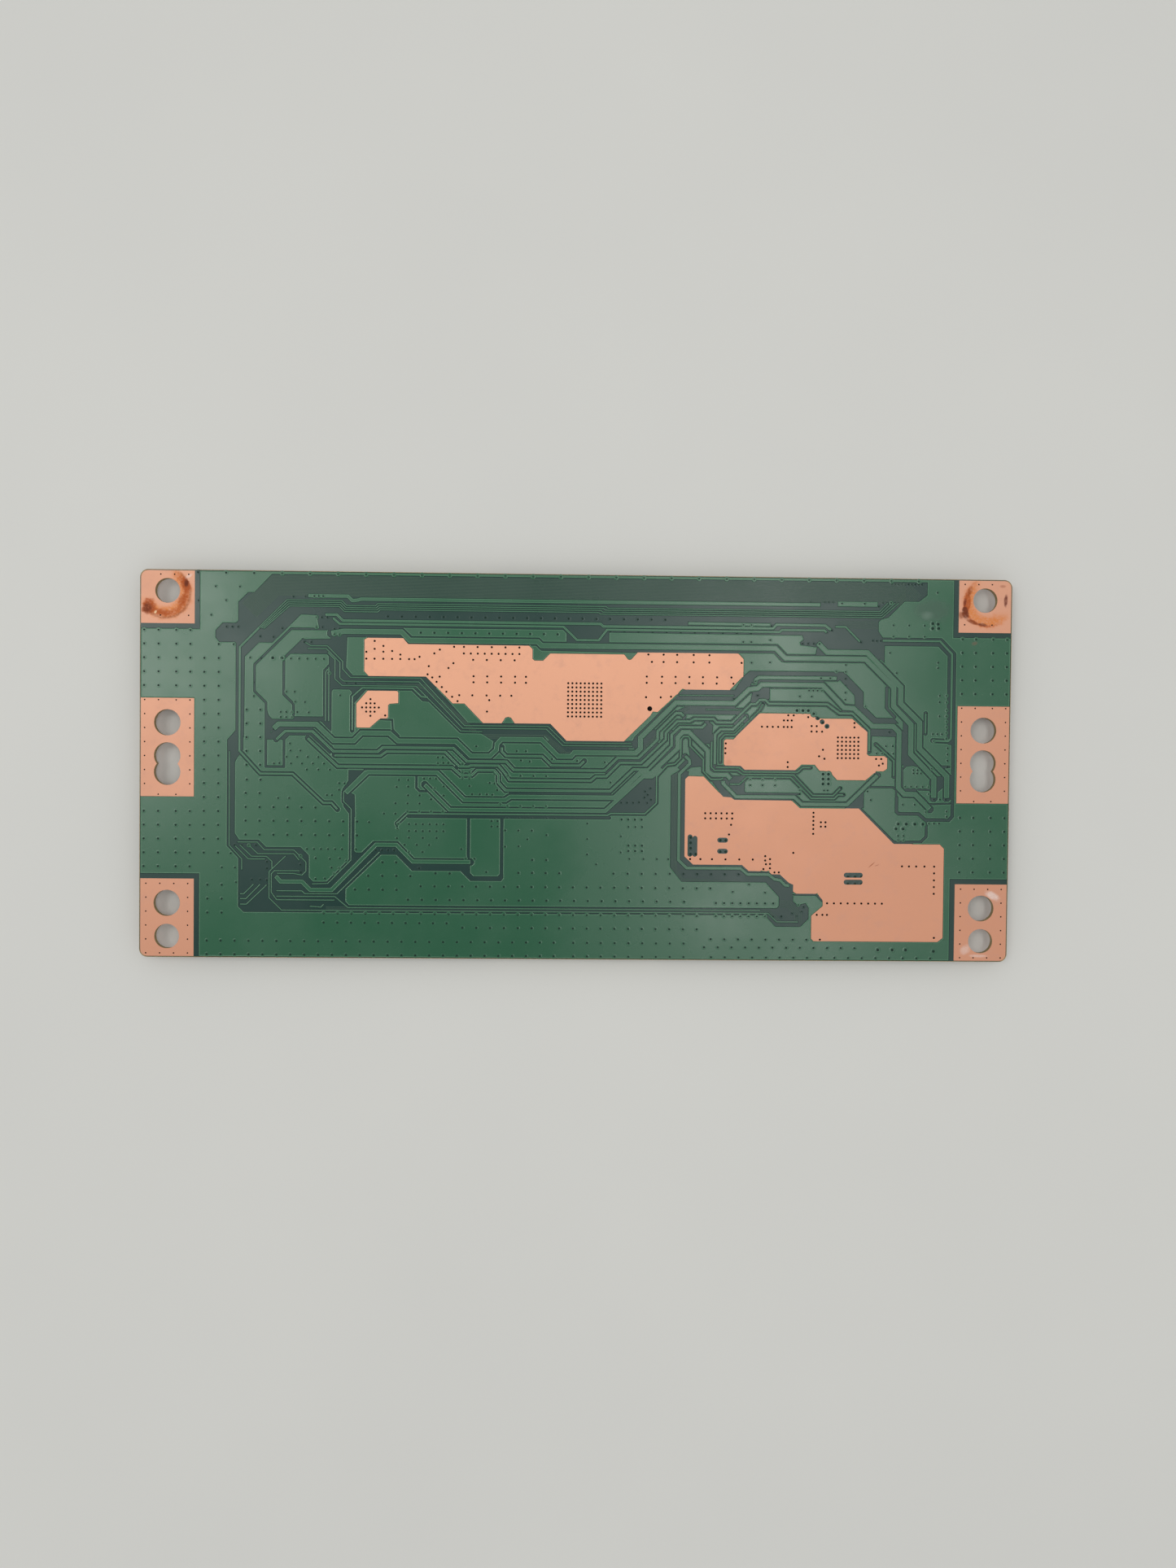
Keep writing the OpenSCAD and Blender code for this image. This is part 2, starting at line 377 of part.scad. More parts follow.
// Open vias of the heat pours, as rows of one height and as single places
timing_rows = [
    [21.9, [-21.1, -18.6, -16, -13.5, -10.95]],
    [20.9, [12.75, 15.55, 18.05, 21.1, 24]],
    [20.7, [for (k = [0 : 8]) -21.1 + 1.27 * k]],
    [19.55, [-38.9, -37.4, -35.8, -34.2, -32.7, -31.1, -30.1, -19.4, -16.9, -14.35, -11.8]],
    [19.55, [13.4, 15.55, 18.05, 21.1, 24, 29.95]],
    [16.85, [12.5, 15.3, 17.8, 20.35, 22.85, 25.45, 28.1]],
    [16.55, [-19.3, -16.8, -14.25, -11.7, -9.7]],
    [15.7, [12.5, 15.25, 17.8, 20.3, 22.85, 25.4, 28.5]],
    [15.45, [-19.3, -16.8, -14.25, -11.7, -9.7]],
    [13.05, [-19.5, -16.9, -14.4, -12.35, 12.4, 15.1]]
];
timing_singles = [
    [-29.2, 20], [-35.8, 20.85], [-37.4, 21.35], [-38.9, 20.8], [-34.2, 21], [-32.7, 20.35], [-35.8, 21.9],
    [-37.4, 22.8], [-26.5, 20.65], [-25.5, 21.35], [-22.9, 21.9], [-23, 18.9], [-23.9, 18], [-27.5, 18.3],
    [-25.5, 16.4], [-21.9, 13.05], [-16.4, 12.2], [-16.8, 10.1], [-27.7, 16.8], [-26.85, 16.25],
    [-26.05, 15.45],
    [-25.1, 14.5], [-24.25, 13.65], [-23.2, 12.75], [-22.2, 11.95], [17, 13.2]
];
timing_center = [1.11, 12.42];
power_rows = [
    [10, [38.7, 39.7]],
    [9.05, [37.9, 38.6, 39.35]],
    [7.85, [33.85, 34.85, 35.85, 36.85, 37.9, 38.6, 39.35]],
    [8.05, [43.05, 44]],
    [7.05, [43.05, 44, 45]],
    [2.1, [55.1, 56.05]]
];
power_singles = [
    [27.2, 4.7], [27.15, 3.8], [27.15, 2.9], [38.7, 1.35], [38.7, 0.45], [42.4, 9.7], [51, 8.7], [51, 7.9],
    [45.2, 3.7], [44.5, 2.5], [45.5, 2.05], [56.35, 1.25], [55.65, 0.9]
];
power_center = [49.86, 4.1];
supply_rows = [
    [-8.2, [for (k = [0 : 5]) 23.55 + k]],
    [-9.15, [for (k = [0 : 5]) 23.55 + k]],
    [-16.7, [20.85, 22.75, 24.9, 27.4, 29.95, 32.45]],
    [-17.75, [60.2, 61.5, 62.85, 64.4, 66.2]],
    [-24.7, [for (k = [0 : 8]) 46.35 + 1.275 * k]],
    [-26.85, [44.45, 45.5, 46.35]],
    [-9.7, [45, 45.85]],
    [-10.5, [45, 45.85]]
];
supply_singles = [
    [28.35, -10.3], [28, -12.1], [34.75, -16.05], [34.75, -16.85], [34.9, -17.55], [34.45, -18.45],
    [35.65, -16.6],
    [35.65, -17.5], [35.65, -18.3], [36.5, -19.05], [37.3, -19.05], [39.95, -15.4], [43.6, -7.95],
    [43.6, -8.7],
    [43.6, -9.45], [43.6, -10.2], [43.6, -10.95], [43.6, -11.85], [45.1, -31.45], [66.35, -31], [66.2, -19],
    [66.2, -20.3], [66.2, -21.55], [66.2, -22.8]
];
shifter_center = [-38.1, 10.63];
shifter_rows = [
    [2, [0]], [1, [-1, 0, 1]], [0, [-2, -1, 0, 1, 2]], [-1, [-1, 0, 1]], [-2, [0]]
];

// Coated places inside the heat pours: ends of each slot, all with one radius
slot_r = 0.46;
supply_slots = [
    [[20.8, -12.6], [20.8, -15.8]], [[26.3, -13.15], [27.35, -13.15]],
    [[21.7, -12.85], [21.7, -15.8]], [[26.3, -15.2], [27.35, -15.2]], [[49.85, -19.45], [52.45, -19.45]],
    [[49.85, -20.75], [52.45, -20.75]]
];
power_bites = [[43.3, 10.25], [44.15, 9.6], [45, 8.85], [45.9, 8.05]];
timing_bites = [[13.1, 10.95]];

function spread(rows) = [for (row = rows) for (x = row[1]) at([x, row[0]])];
function array_at(center, count) = [
    for (i = [0 : count - 1])
        for (j = [0 : count - 1])
            at(center) + via_pitch * [i - (count - 1) / 2, j - (count - 1) / 2]
];
timing_vias = concat(spread(timing_rows), route(timing_singles), array_at(timing_center, 9));
power_vias = concat(spread(power_rows), route(power_singles), array_at(power_center, 6));
supply_vias = concat(spread(supply_rows), route(supply_singles));
shifter_vias = concat(
    [for (row = shifter_rows) for (k = row[1]) at(shifter_center) + via_pitch * [k, row[0]]],
    [at([-35.4, 9.2])]
);

// Small vias of the screw pads, measured from the pad's screw holes
pad_via_d = 0.28;
pad_via_out = 4.1;
mid_pad_vias = concat(
    [for (k = [0 : 6]) for (s = [-1, 1]) [hole_x + s * pad_via_out, mid_pad_top - 0.4 - 2.55 * k]],
    [for (y = [mid_pad_top - 0.4, -mid_pad_bottom + 0.4]) for (s = [-1, 1]) [hole_x + s * 1.6, y]]
);
low_pad_vias = concat(
    [for (k = [0 : 5]) for (s = [-1, 1]) [hole_x + s * 3.8, low_pad_h - 0.7 - 2.55 * k - board_h / 2]],
    [for (k = [0, 5]) for (s = [-1, 1]) [hole_x + s * 1.27, low_pad_h - 0.7 - 2.55 * k - board_h / 2]]
);
top_pad_vias = [
    for (p = [[-3.8, 2.95], [-1.25, 2.95], [1.25, 2.95], [-3.8, -4.5], [1.3, -4.5]])
        [hole_x + p[0], corner_hole_y + p[1]]
];

module board_outline(inset = 0) {
    w = board_w - 2 * inset;
    h = board_h - 2 * inset;
    r = max(corner_r - inset, 0.2);
    difference() {
        square([w, h], center = true);
        for (sx = [-1, 1])
            for (sy = [-1, 1])
                translate([sx * (w / 2 - r), sy * (h / 2 - r)])
                    difference() {
                        translate([sx * r, sy * r]) square(2 * r, center = true);
                        circle(r);
                    }
    }
}

module screw_holes(height) {
    for (side = [-1, 1])
        for (hole = round_holes)
            translate([side * hole[0][0], hole[0][1], -0.5]) cylinder(d = hole[1], h = height + 1);
}

// Outline of a line of one width: both offsets of its centre line, with mitred bends
function across(a, b) = [a[1] - b[1], b[0] - a[0]] / norm(b - a);
function mitre(m, n) = (m + n) / (1 + m * n);
function beside(points, d) = [
    for (i = [0 : len(points) - 1])
        let (before = across(points[max(i - 1, 0)], points[max(i, 1)]),
             after = across(points[min(i, len(points) - 2)], points[min(i + 1, len(points) - 1)]))
        points[i] + d * mitre(before, after)
];
function reversed(list) = [for (i = [len(list) - 1 : -1 : 0]) list[i]];

module line(width, points) {
    polygon(concat(beside(points, width / 2), reversed(beside(points, -width / 2))));
}

// Strip that is kept clear along a line, with blunt ends and bends
module clear_line(width, points) {
    for (i = [0 : len(points) - 2])
        hull()
            for (p = [points[i], points[i + 1]])
                translate(p) rotate(22.5) circle(r = width / 2 / cos(22.5), $fn = 8);
}

// Bare outline of a screw pad, from the board's edge inwards, on the right half
module pad_area(bottom, top, grow = 0) {
    translate([pad_inner - grow, bottom - grow])
        square([board_w / 2 - edge_gap - pad_inner + grow, top - bottom + 2 * grow]);
}
top_pad_span = [board_h / 2 - edge_gap - top_pad_h, board_h / 2 - edge_gap];
mid_pad_span = [-mid_pad_bottom, mid_pad_top];
low_pad_span = [edge_gap - board_h / 2, edge_gap - board_h / 2 + low_pad_h];

module pour_area(points) {
    polygon(route(points));
}

// Flat outline of the coated slots and discs inside the heat pours
module slot_area(ends) {
    reach = at(ends[1]) - at(ends[0]);
    for (p = ends) translate(at(p)) circle(slot_r);
    translate((at(ends[0]) + at(ends[1])) / 2)
        square([max(abs(reach[0]), 2 * slot_r), max(abs(reach[1]), 2 * slot_r)], center = true);
}

module coated_spots() {
    for (s = supply_slots) slot_area(s);
    for (p = concat(power_bites, timing_bites)) translate(at(p)) circle(slot_r);
}

// Everything that the upper mask leaves open, apart from the coated spots
module windows() {
    for (side = [0, 1])
        mirror([side, 0]) {
            pad_area(top_pad_span[0], top_pad_span[1]);
            pad_area(mid_pad_span[0], mid_pad_span[1]);
            pad_area(low_pad_span[0], low_pad_span[1]);
        }
    for (points = [timing_pour, power_pour, supply_pour, shifter_pour]) pour_area(points);
}

// Pours under the mask, kept clear of every track
module drawn_pours() {
    difference() {
        union() {
            difference() {
                square([board_w - 2 * edge_gap, board_h - 2 * edge_gap], center = true);
                for (area = concat(voids, side_voids)) polygon(route(area));
                for (c = channels) clear_line(c[0], route(c[1]));
                for (side = [0, 1])
                    mirror([side, 0]) {
                        pad_area(top_pad_span[0], board_h / 2, pad_gap);
                        pad_area(-board_h / 2, low_pad_span[1], pad_gap);
                    }
            }
            for (area = islands) polygon(route(area));
        }
        for (t = concat(tracks, fan_lines)) clear_line(t[0] + 2 * track_gap, route(t[1]));
        windows();
    }
}

// Pours without the slivers that etching takes away
module pour_artwork() {
    offset(delta = -etch_back) intersection() {
        offset(delta = 2 * sliver, chamfer = true) offset(delta = -sliver) drawn_pours();
        drawn_pours();
    }
}

// Tracks under the mask
module track_artwork() {
    difference() {
        for (t = concat(tracks, fan_lines)) line(t[0], route(t[1]));
        windows();
    }
}

// Layers of the board
module laminate() {
    color("darkolivegreen")
        difference() {
            translate([0, 0, lower_z]) linear_extrude(board_t) board_outline();
            translate([0, 0, lower_z]) screw_holes(board_t);
        }
}

module upper_mask() {
    color("seagreen")
        difference() {
            translate([0, 0, upper_z]) linear_extrude(mask_t) difference() {
                board_outline(edge_gap / 2);
                difference() {
                    windows();
                    coated_spots();
                }
            }
            translate([0, 0, upper_z]) screw_holes(mask_t);
        }
}

module lower_mask() {
    color("seagreen")
        difference() {
            translate([0, 0, connector_h]) linear_extrude(mask_t) board_outline(edge_gap / 2);
            translate([0, 0, connector_h]) screw_holes(mask_t);
        }
}

module coated_pours() {
    color("mediumseagreen")
        translate([0, 0, mask_z]) linear_extrude(copper_t) pour_artwork();
}

module coated_tracks() {
    color("mediumseagreen")
        translate([0, 0, mask_z]) linear_extrude(copper_t) track_artwork();
}

// Bare copper
module screw_pad(side, span, vias) {
    color("peru")
        difference() {
            translate([0, 0, upper_z]) linear_extrude(copper_t)
                mirror([side < 0 ? 1 : 0, 0])
                    intersection() {
                        pad_area(span[0], span[1]);
                        board_outline(edge_gap);
                    }
            translate([0, 0, upper_z]) screw_holes(copper_t);
            for (p = vias)
                translate([side * p[0], p[1],
                upper_z - 0.5]) cylinder(d = pad_via_d, h = copper_t + 1, $fn = 16);
        }
}

module upper_left_pad() screw_pad(-1, top_pad_span, top_pad_vias);
module upper_right_pad() screw_pad(1, top_pad_span, top_pad_vias);
module middle_left_pad() screw_pad(-1, mid_pad_span, mid_pad_vias);
module middle_right_pad() screw_pad(1, mid_pad_span, mid_pad_vias);
module lower_left_pad() screw_pad(-1, low_pad_span, low_pad_vias);
module lower_right_pad() screw_pad(1, low_pad_span, low_pad_vias);

module heat_pour(points, vias) {
    color("peru")
        difference() {
            translate([0, 0, upper_z]) linear_extrude(copper_t) difference() {
                pour_area(points);
                coated_spots();
            }
            for (p = vias)
                translate([p[0], p[1], upper_z - 0.5]) cylinder(d = via_d, h = copper_t + 1, $fn = 16);
        }
}

module timing_heat_pour() heat_pour(timing_pour, timing_vias);
module power_heat_pour() heat_pour(power_pour, power_vias);
module supply_heat_pour() heat_pour(supply_pour, supply_vias);
module shifter_heat_pour() heat_pour(shifter_pour, shifter_vias);

// Component side: everything hangs from the lower mask, and heights are measured downwards from it
module hung(place, top, height) {
    translate([place[0], place[1], connector_h - top - height / 2]) children();
}

module block(place, size, top = 0) {
    hung(place, top, size[2]) cube(size, center = true);
}

// Bent lead that leaves a body at one height and stands on the board at the other
module bent_lead(width, drop, reach) {
    foil = 0.15;
    knee = reach * 0.4;
    rotate([90, 0, 0])
        linear_extrude(width, center = true)
            polygon([[0, -drop], [knee, -drop], [knee, 0], [reach, 0], [reach, -foil], [knee + foil, -foil],
                     [knee + foil, -drop - foil], [0, -drop - foil]]);
}

module lead_row(place, half, count, pitch, width, drop, reach, turn) {
    translate([place[0], place[1], connector_h])
        rotate(turn)
            for (k = [0 : count - 1])
                translate([half, (k - (count - 1) / 2) * pitch, 0]) bent_lead(width, drop, reach);
}

timing_reach = 1;
lead_standoff = 0.1;
module timing_controller() {
    color("dimgray") block(at(timing_center), [timing_body, timing_body, timing_h - lead_standoff],
    lead_standoff);
}

module timing_leads_row() {
    color("silver")
        for (turn = [0 : 90 : 270])
            lead_row(at(timing_center), timing_body / 2, timing_leads, timing_pitch, timing_pitch * 0.45,
                     timing_h * 0.45, timing_reach, turn);
}

module leadless_body(place, side) {
    block(place, [side, side, leadless_h - solder_t], solder_t);
}

gamma_place = [-26, -13];
gamma_body = 6;
flash_place = [10, -15.5];
flash_size = [4, 5, 1.4];
module power_manager() {
    color("dimgray") leadless_body(at(power_center), power_body);
}

module level_shifter() {
    color("dimgray") leadless_body(at(shifter_center), shifter_body);
}

module gamma_buffer() {
    color("dimgray") leadless_body(at(gamma_place), gamma_body);
}

module flash_memory() {
    color("dimgray") block(at(flash_place), flash_size, lead_standoff);
}

// Solder lands of the leadless packages and leads of the memory
module chip_leads() {
    land = [0.3, 0.5];
    land_pitch = 0.65;
    color("silver") {
        for (chip = [[power_center, power_body], [shifter_center, shifter_body], [gamma_place, gamma_body]]) {
            core = chip[1] - 2.2;
            count = floor((chip[1] - 1) / land_pitch);
            block(at(chip[0]), [core, core, solder_t]);
            translate(concat(at(chip[0]), 0))
                for (turn = [0 : 90 : 270])
                    rotate(turn)
                        for (k = [0 : count - 1])
                            block([chip[1] / 2 - land[1] / 2, (k - (count - 1) / 2) * land_pitch],
                                  [land[1], land[0], solder_t]);
        }
        for (turn = [0, 180])
            lead_row(at(flash_place), flash_size[0] / 2, 4, 1.27, 0.4, flash_size[2] * 0.45, 0.9, turn);
    }
}

crystal_place = [-12, 2];
crystal_size = [3.2, 2.5, 0.8];
fuse_place = [-22, -24];
fuse_size = [4.5, 2.4, 1.2];
module crystal() {
    color("gainsboro") block(at(crystal_place), crystal_size);
}

module input_fuse() {
    color("tan") block(at(fuse_place), fuse_size);
}

// Connectors, open towards the nearer long edge of the board
connector_wall = 2;
connector_y = board_h / 2 - connector_inset - connector_d / 2;
slot_h = 0.5;
slot_depth = 2.6;
tail = [0.7, 0.12];
connectors = [
    [-panel_connector_x * stretch_x, 1, panel_contacts],
    [panel_connector_x * stretch_x, 1, panel_contacts],
    [0, -1, input_contacts]
];
function contact_span(count) = (count - 1) * contact_pitch;

module connector(c) {
    span = contact_span(c[2]) + 0.8;
    color("ivory")
        translate([c[0], c[1] * connector_y, connector_h / 2])
            difference() {
                cube([span + 2 * connector_wall, connector_d, connector_h], center = true);
                translate([0, c[1] * (connector_d - slot_depth + 0.02) / 2, 0])
                    cube([span, slot_depth + 0.02, slot_h], center = true);
            }
}

module left_panel_connector() connector(connectors[0]);
module right_panel_connector() connector(connectors[1]);
module input_connector() connector(connectors[2]);

module connector_contacts() {
    color("gold")
        for (c = connectors)
            for (k = [0 : c[2] - 1])
                block([c[0] + k * contact_pitch - contact_span(c[2]) / 2,
                       c[1] * (connector_y - connector_d / 2 - tail[0] / 2)],
                      [contact_pitch * 0.45, tail[0], tail[1]]);
}

inductor_places = [[34, -11], [34, -23], [56, -18], [56, -27]];
module power_inductors() {
    color("dimgray")
        for (p = inductor_places)
            block(at(p), [inductor_body, inductor_body, inductor_h - solder_t], solder_t);
}

module inductor_pads() {
    pad = [1.4, inductor_body - 1, solder_t];
    color("silver")
        for (p = inductor_places)
            for (s = [-1, 1])
                block(at(p) + [s * (inductor_body - pad[0]) / 2, 0], pad);
}

// Leaded small packages: body size and places
diode_size = [4.2, 2.6, 1.9];
diode_places = [[44, -12], [44, -20], [46, -27], [24, -12]];
transistor_size = [1.4, 2.9, 1];
transistor_places = [[-52, 14], [-52, 8], [64, 14], [64, 8], [-56, -18]];
module diodes() {
    color("dimgray")
        for (p = diode_places) block(at(p), diode_size, lead_standoff);
}

module transistors() {
    color("dimgray")
        for (p = transistor_places) block(at(p), transistor_size, lead_standoff);
}

module lead_frames() {
    color("silver") {
        for (p = diode_places)
            for (turn = [0, 180])
                lead_row(at(p), diode_size[0] / 2, 1, 1, 1.4, diode_size[2] * 0.4, 0.8, turn);
        for (p = transistor_places) {
            lead_row(at(p), transistor_size[0] / 2, 2, 1.9, 0.4, transistor_size[2] * 0.4, 0.6, 0);
            lead_row(at(p), transistor_size[0] / 2, 1, 1, 0.4, transistor_size[2] * 0.4, 0.6, 180);
        }
    }
}

// Chip parts with soldered end caps: length, width, height and cap length
bulk_chip = [3.2, 2.5, 1.8, 0.5];
small_capacitor = [1.6, 0.8, 0.8, 0.3];
small_resistor = [1.6, 0.8, 0.45, 0.3];
bulk_places = [
    for (p = [[-60, 16], [-60, 11], [-60, 6], [58, 12], [58, 8], [62, -1], [62, -5], [26, -24], [26, -28],
              [66, -20]]) p
];
capacitor_places = concat(
    [for (k = [0 : 11]) [-20 + 4 * k, 26.5]],
    [for (k = [0 : 5]) for (s = [-1, 1]) [timing_center[0] + s * 12.5, timing_center[1] - 6 + 2.4 * k]],
    [for (k = [0 : 4]) [42 + 4 * k, -2]],
    [for (k = [0 : 4]) [-46 + 3.2 * k, 4]]
);
resistor_places = concat(
    [for (k = [0 : 9]) [-50 + 4 * k, 24]],
    [for (k = [0 : 7]) [20 + 4 * k, 24]],
    [for (k = [0 : 9]) [-16 + 3.2 * k, -22]],
    [for (k = [0 : 5]) [-52 + 3.4 * k, -6]]
);

module chip_bodies(places, chip) {
    for (p = places) block(at(p), [chip[0] - 2 * chip[3], chip[1], chip[2]]);
}

module chip_caps(places, chip) {
    for (p = places)
        for (s = [-1, 1])
            block(at(p) + [s * (chip[0] - chip[3]) / 2, 0], [chip[3], chip[1], chip[2]]);
}

module bulk_capacitors() {
    color("burlywood") chip_bodies(bulk_places, bulk_chip);
}

module small_capacitors() {
    color("burlywood") chip_bodies(capacitor_places, small_capacitor);
}

module small_resistors() {
    color("dimgray") chip_bodies(resistor_places, small_resistor);
}

module end_caps() {
    color("silver") {
        chip_caps(bulk_places, bulk_chip);
        chip_caps(capacitor_places, small_capacitor);
        chip_caps(resistor_places, small_resistor);
    }
}

laminate();
upper_mask();
lower_mask();
coated_pours();
coated_tracks();
upper_left_pad();
upper_right_pad();
middle_left_pad();
middle_right_pad();
lower_left_pad();
lower_right_pad();
timing_heat_pour();
power_heat_pour();
supply_heat_pour();
shifter_heat_pour();
timing_controller();
timing_leads_row();
power_manager();
level_shifter();
gamma_buffer();
flash_memory();
chip_leads();
crystal();
input_fuse();
left_panel_connector();
right_panel_connector();
input_connector();
connector_contacts();
power_inductors();
inductor_pads();
diodes();
transistors();
lead_frames();
bulk_capacitors();
small_capacitors();
small_resistors();
end_caps();
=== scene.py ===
"""Looks of the t-con board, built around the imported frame.

Lengths are in millimetres until they reach a mesh.
"""
import math
from itertools import product

import bmesh
import bpy
from mathutils import Matrix, Vector


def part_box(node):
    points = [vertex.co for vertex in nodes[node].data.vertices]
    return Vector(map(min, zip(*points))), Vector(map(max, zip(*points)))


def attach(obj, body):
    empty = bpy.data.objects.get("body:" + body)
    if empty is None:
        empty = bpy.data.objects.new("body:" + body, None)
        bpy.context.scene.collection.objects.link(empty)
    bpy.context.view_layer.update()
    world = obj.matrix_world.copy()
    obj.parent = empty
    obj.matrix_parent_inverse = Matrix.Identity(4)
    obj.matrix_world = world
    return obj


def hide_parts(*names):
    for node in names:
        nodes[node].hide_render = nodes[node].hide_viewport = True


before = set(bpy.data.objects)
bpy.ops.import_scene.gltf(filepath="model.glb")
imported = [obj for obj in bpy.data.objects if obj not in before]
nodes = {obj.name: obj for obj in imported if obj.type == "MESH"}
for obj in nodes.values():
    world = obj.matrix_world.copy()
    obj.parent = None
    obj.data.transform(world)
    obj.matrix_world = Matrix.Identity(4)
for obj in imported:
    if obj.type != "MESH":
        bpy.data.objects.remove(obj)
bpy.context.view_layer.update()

MM = 0.001
CHIPS = ("timing_controller", "power_manager", "level_shifter", "gamma_buffer", "flash_memory")
CONNECTORS = ("left_panel_connector", "right_panel_connector", "input_connector")


def box_mm(name):
    """Lowest and highest corners of a node, in millimetres."""
    return [[c / MM for c in corner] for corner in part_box(name)]


MASK_TOP = box_mm("upper_mask")[1][2]
COPPER_TOP = box_mm("coated_pours")[1][2]
BARE_TOP = box_mm("supply_heat_pour")[1][2]
LOWER_FACE = box_mm("lower_mask")[0][2]


# Colours
def srgb(red, green, blue):
    """Linear colour from the usual 0 to 255 values."""
    shares = [value / 255 for value in (red, green, blue)]
    return (*[s / 12.92 if s <= 0.04045 else ((s + 0.055) / 1.055) ** 2.4 for s in shares], 1)


# Shader building
class Graph:
    """Short calls for the nodes of one shader tree."""

    def __init__(self, tree):
        self.tree = tree

    def feed(self, socket, value):
        """Sets a socket from a number, a colour or another socket."""
        if isinstance(value, bpy.types.NodeSocket):
            self.tree.links.new(value, socket)
        else:
            socket.default_value = value

    def node(self, kind, inputs, **settings):
        """New node of a kind, with its settings made before its inputs are fed."""
        node = self.tree.nodes.new("ShaderNode" + kind)
        for name, value in settings.items():
            setattr(node, name, value)
        for key, value in inputs.items():
            self.feed(node.inputs[key], value)
        return node

    def math(self, operation, first, second=0.0, clamp=False):
        return self.node("Math", {0: first, 1: second}, operation=operation, use_clamp=clamp).outputs[0]

    def fade(self, value, start, end, low=0.0, high=1.0):
        """Smooth step of a value from start to end."""
        levels = {"Value": value, "From Min": start, "From Max": end, "To Min": low, "To Max": high}
        return self.node("MapRange", levels, interpolation_type="SMOOTHSTEP").outputs["Result"]


class Finish(Graph):
    """One procedural material, whose patterns are measured in millimetres."""

    def __init__(self, name):
        self.material = bpy.data.materials.new(name)
        self.material.use_nodes = True
        super().__init__(self.material.node_tree)
        self.shader = self.tree.nodes["Principled BSDF"]
        place = self.node("TexCoord", {})
        scale = self.node("VectorMath", {0: place.outputs["Object"], "Scale": 1 / MM}, operation="SCALE")
        self.mm = scale.outputs[0]

    def set(self, **values):
        """Shader inputs by name, with spaces written as underscores."""
        for name, value in values.items():
            self.feed(self.shader.inputs[name.replace("_", " ")], value)
        return self

    def noise(self, size, detail=3, rough=0.55, stretch=(1, 1, 1)):
        """Cloudy pattern, 0 to 1, whose features are about that many millimetres."""
        place = self.node("Mapping", {"Vector": self.mm, "Scale": [s / size for s in stretch]})
        look = {"Vector": place.outputs[0], "Scale": 1, "Detail": detail, "Roughness": rough}
        return self.node("TexNoise", look).outputs["Fac"]

    def mix(self, share, first, second):
        """Colour between two others."""
        return self.node("Mix", {"Factor": share, 6: first, 7: second}, data_type="RGBA").outputs[2]

    def axis(self, name):
        """One coordinate in millimetres."""
        return self.node("SeparateXYZ", {0: self.mm}).outputs[name]

    def bump(self, height, depth, strength=1.0):
        """Surface relief of that many millimetres."""
        relief = self.node("Bump", {"Strength": strength, "Distance": depth * MM, "Height": height})
        return self.set(Normal=relief.outputs[0])

    def distance(self, place, turn=0, stretch=(1, 1), warp=None, warp_by=0.0):
        """Distance in millimetres from a place, measured in a turned and stretched frame."""
        around = {"Location": (*place, 0), "Rotation": (0, 0, math.radians(turn)), "Scale": (*stretch, 1)}
        spot = self.node("Mapping", {"Vector": self.mm, **around}, vector_type="TEXTURE")
        flat = self.node("VectorMath", {0: spot.outputs[0], 1: (1, 1, 0)}, operation="MULTIPLY")
        away = self.node("VectorMath", {0: flat.outputs[0]}, operation="LENGTH").outputs["Value"]
        if warp is None:
            return away
        return self.math("ADD", away, self.math("MULTIPLY", self.math("SUBTRACT", warp, 0.5), warp_by))


def dress(finish, *names):
    """Gives CAD nodes a finish."""
    for name in names:
        mesh = nodes[name].data
        mesh.materials.clear()
        mesh.materials.append(finish.material)


# Camera, at the place that the board's corners in the photograph give
VIEW_TURN = [math.radians(a) for a in (1.039, 1.234, -0.539)]
VIEW_SHIFT = Vector((-1.84, 3.03, -216.58))
FOCAL_PIXELS = 1447
LONG_SIDE_PIXELS = 1927
SENSOR = 36
NEAR_CLIP = 0.001


def add_camera():
    turn = Vector(VIEW_TURN)
    rotation = Matrix.Rotation(turn.length, 3, turn.normalized())
    back = rotation.transposed()
    place = -(back @ VIEW_SHIFT) + Vector((0, 0, MASK_TOP))
    data = bpy.data.cameras.new("photo_camera")
    data.sensor_width = SENSOR
    data.lens = SENSOR * FOCAL_PIXELS / LONG_SIDE_PIXELS
    data.clip_start = NEAR_CLIP
    camera = bpy.data.objects.new("photo_camera", data)
    camera.matrix_world = Matrix.Translation(place * MM) @ back.to_4x4()
    bpy.context.scene.collection.objects.link(camera)
    bpy.context.scene.camera = camera


# Pale table
FLOOR_SIZE = 8.0
FLOOR_COLOUR = srgb(206, 206, 201)
FLOOR_SHADE = srgb(199, 199, 195)


def add_floor():
    half = FLOOR_SIZE / 2
    mesh = bpy.data.meshes.new("floor")
    corners = [(-half, -half, 0), (half, -half, 0), (half, half, 0), (-half, half, 0)]
    mesh.from_pydata(corners, [], [(0, 1, 2, 3)])
    floor = bpy.data.objects.new("floor", mesh)
    bpy.context.scene.collection.objects.link(floor)
    finish = Finish("pale_table")
    clouds = finish.noise(90, detail=4)
    finish.set(Base_Color=finish.mix(clouds, FLOOR_SHADE, FLOOR_COLOUR), Roughness=0.6)
    finish.bump(finish.noise(0.6), 0.01, 0.15)
    mesh.materials.append(finish.material)


# Soft studio light: a world that is darker straight above, as under a hand-held camera, and two soft boxes
WORLD_COLOUR = (0.784, 0.792, 0.8, 1)
OVERHEAD_SHARE = 0.12
# Heights on the unit sphere between which the world darkens
DIM_START = 0.84
DIM_END = 0.97
LAMP_COLOUR = (1.0, 0.985, 0.96)
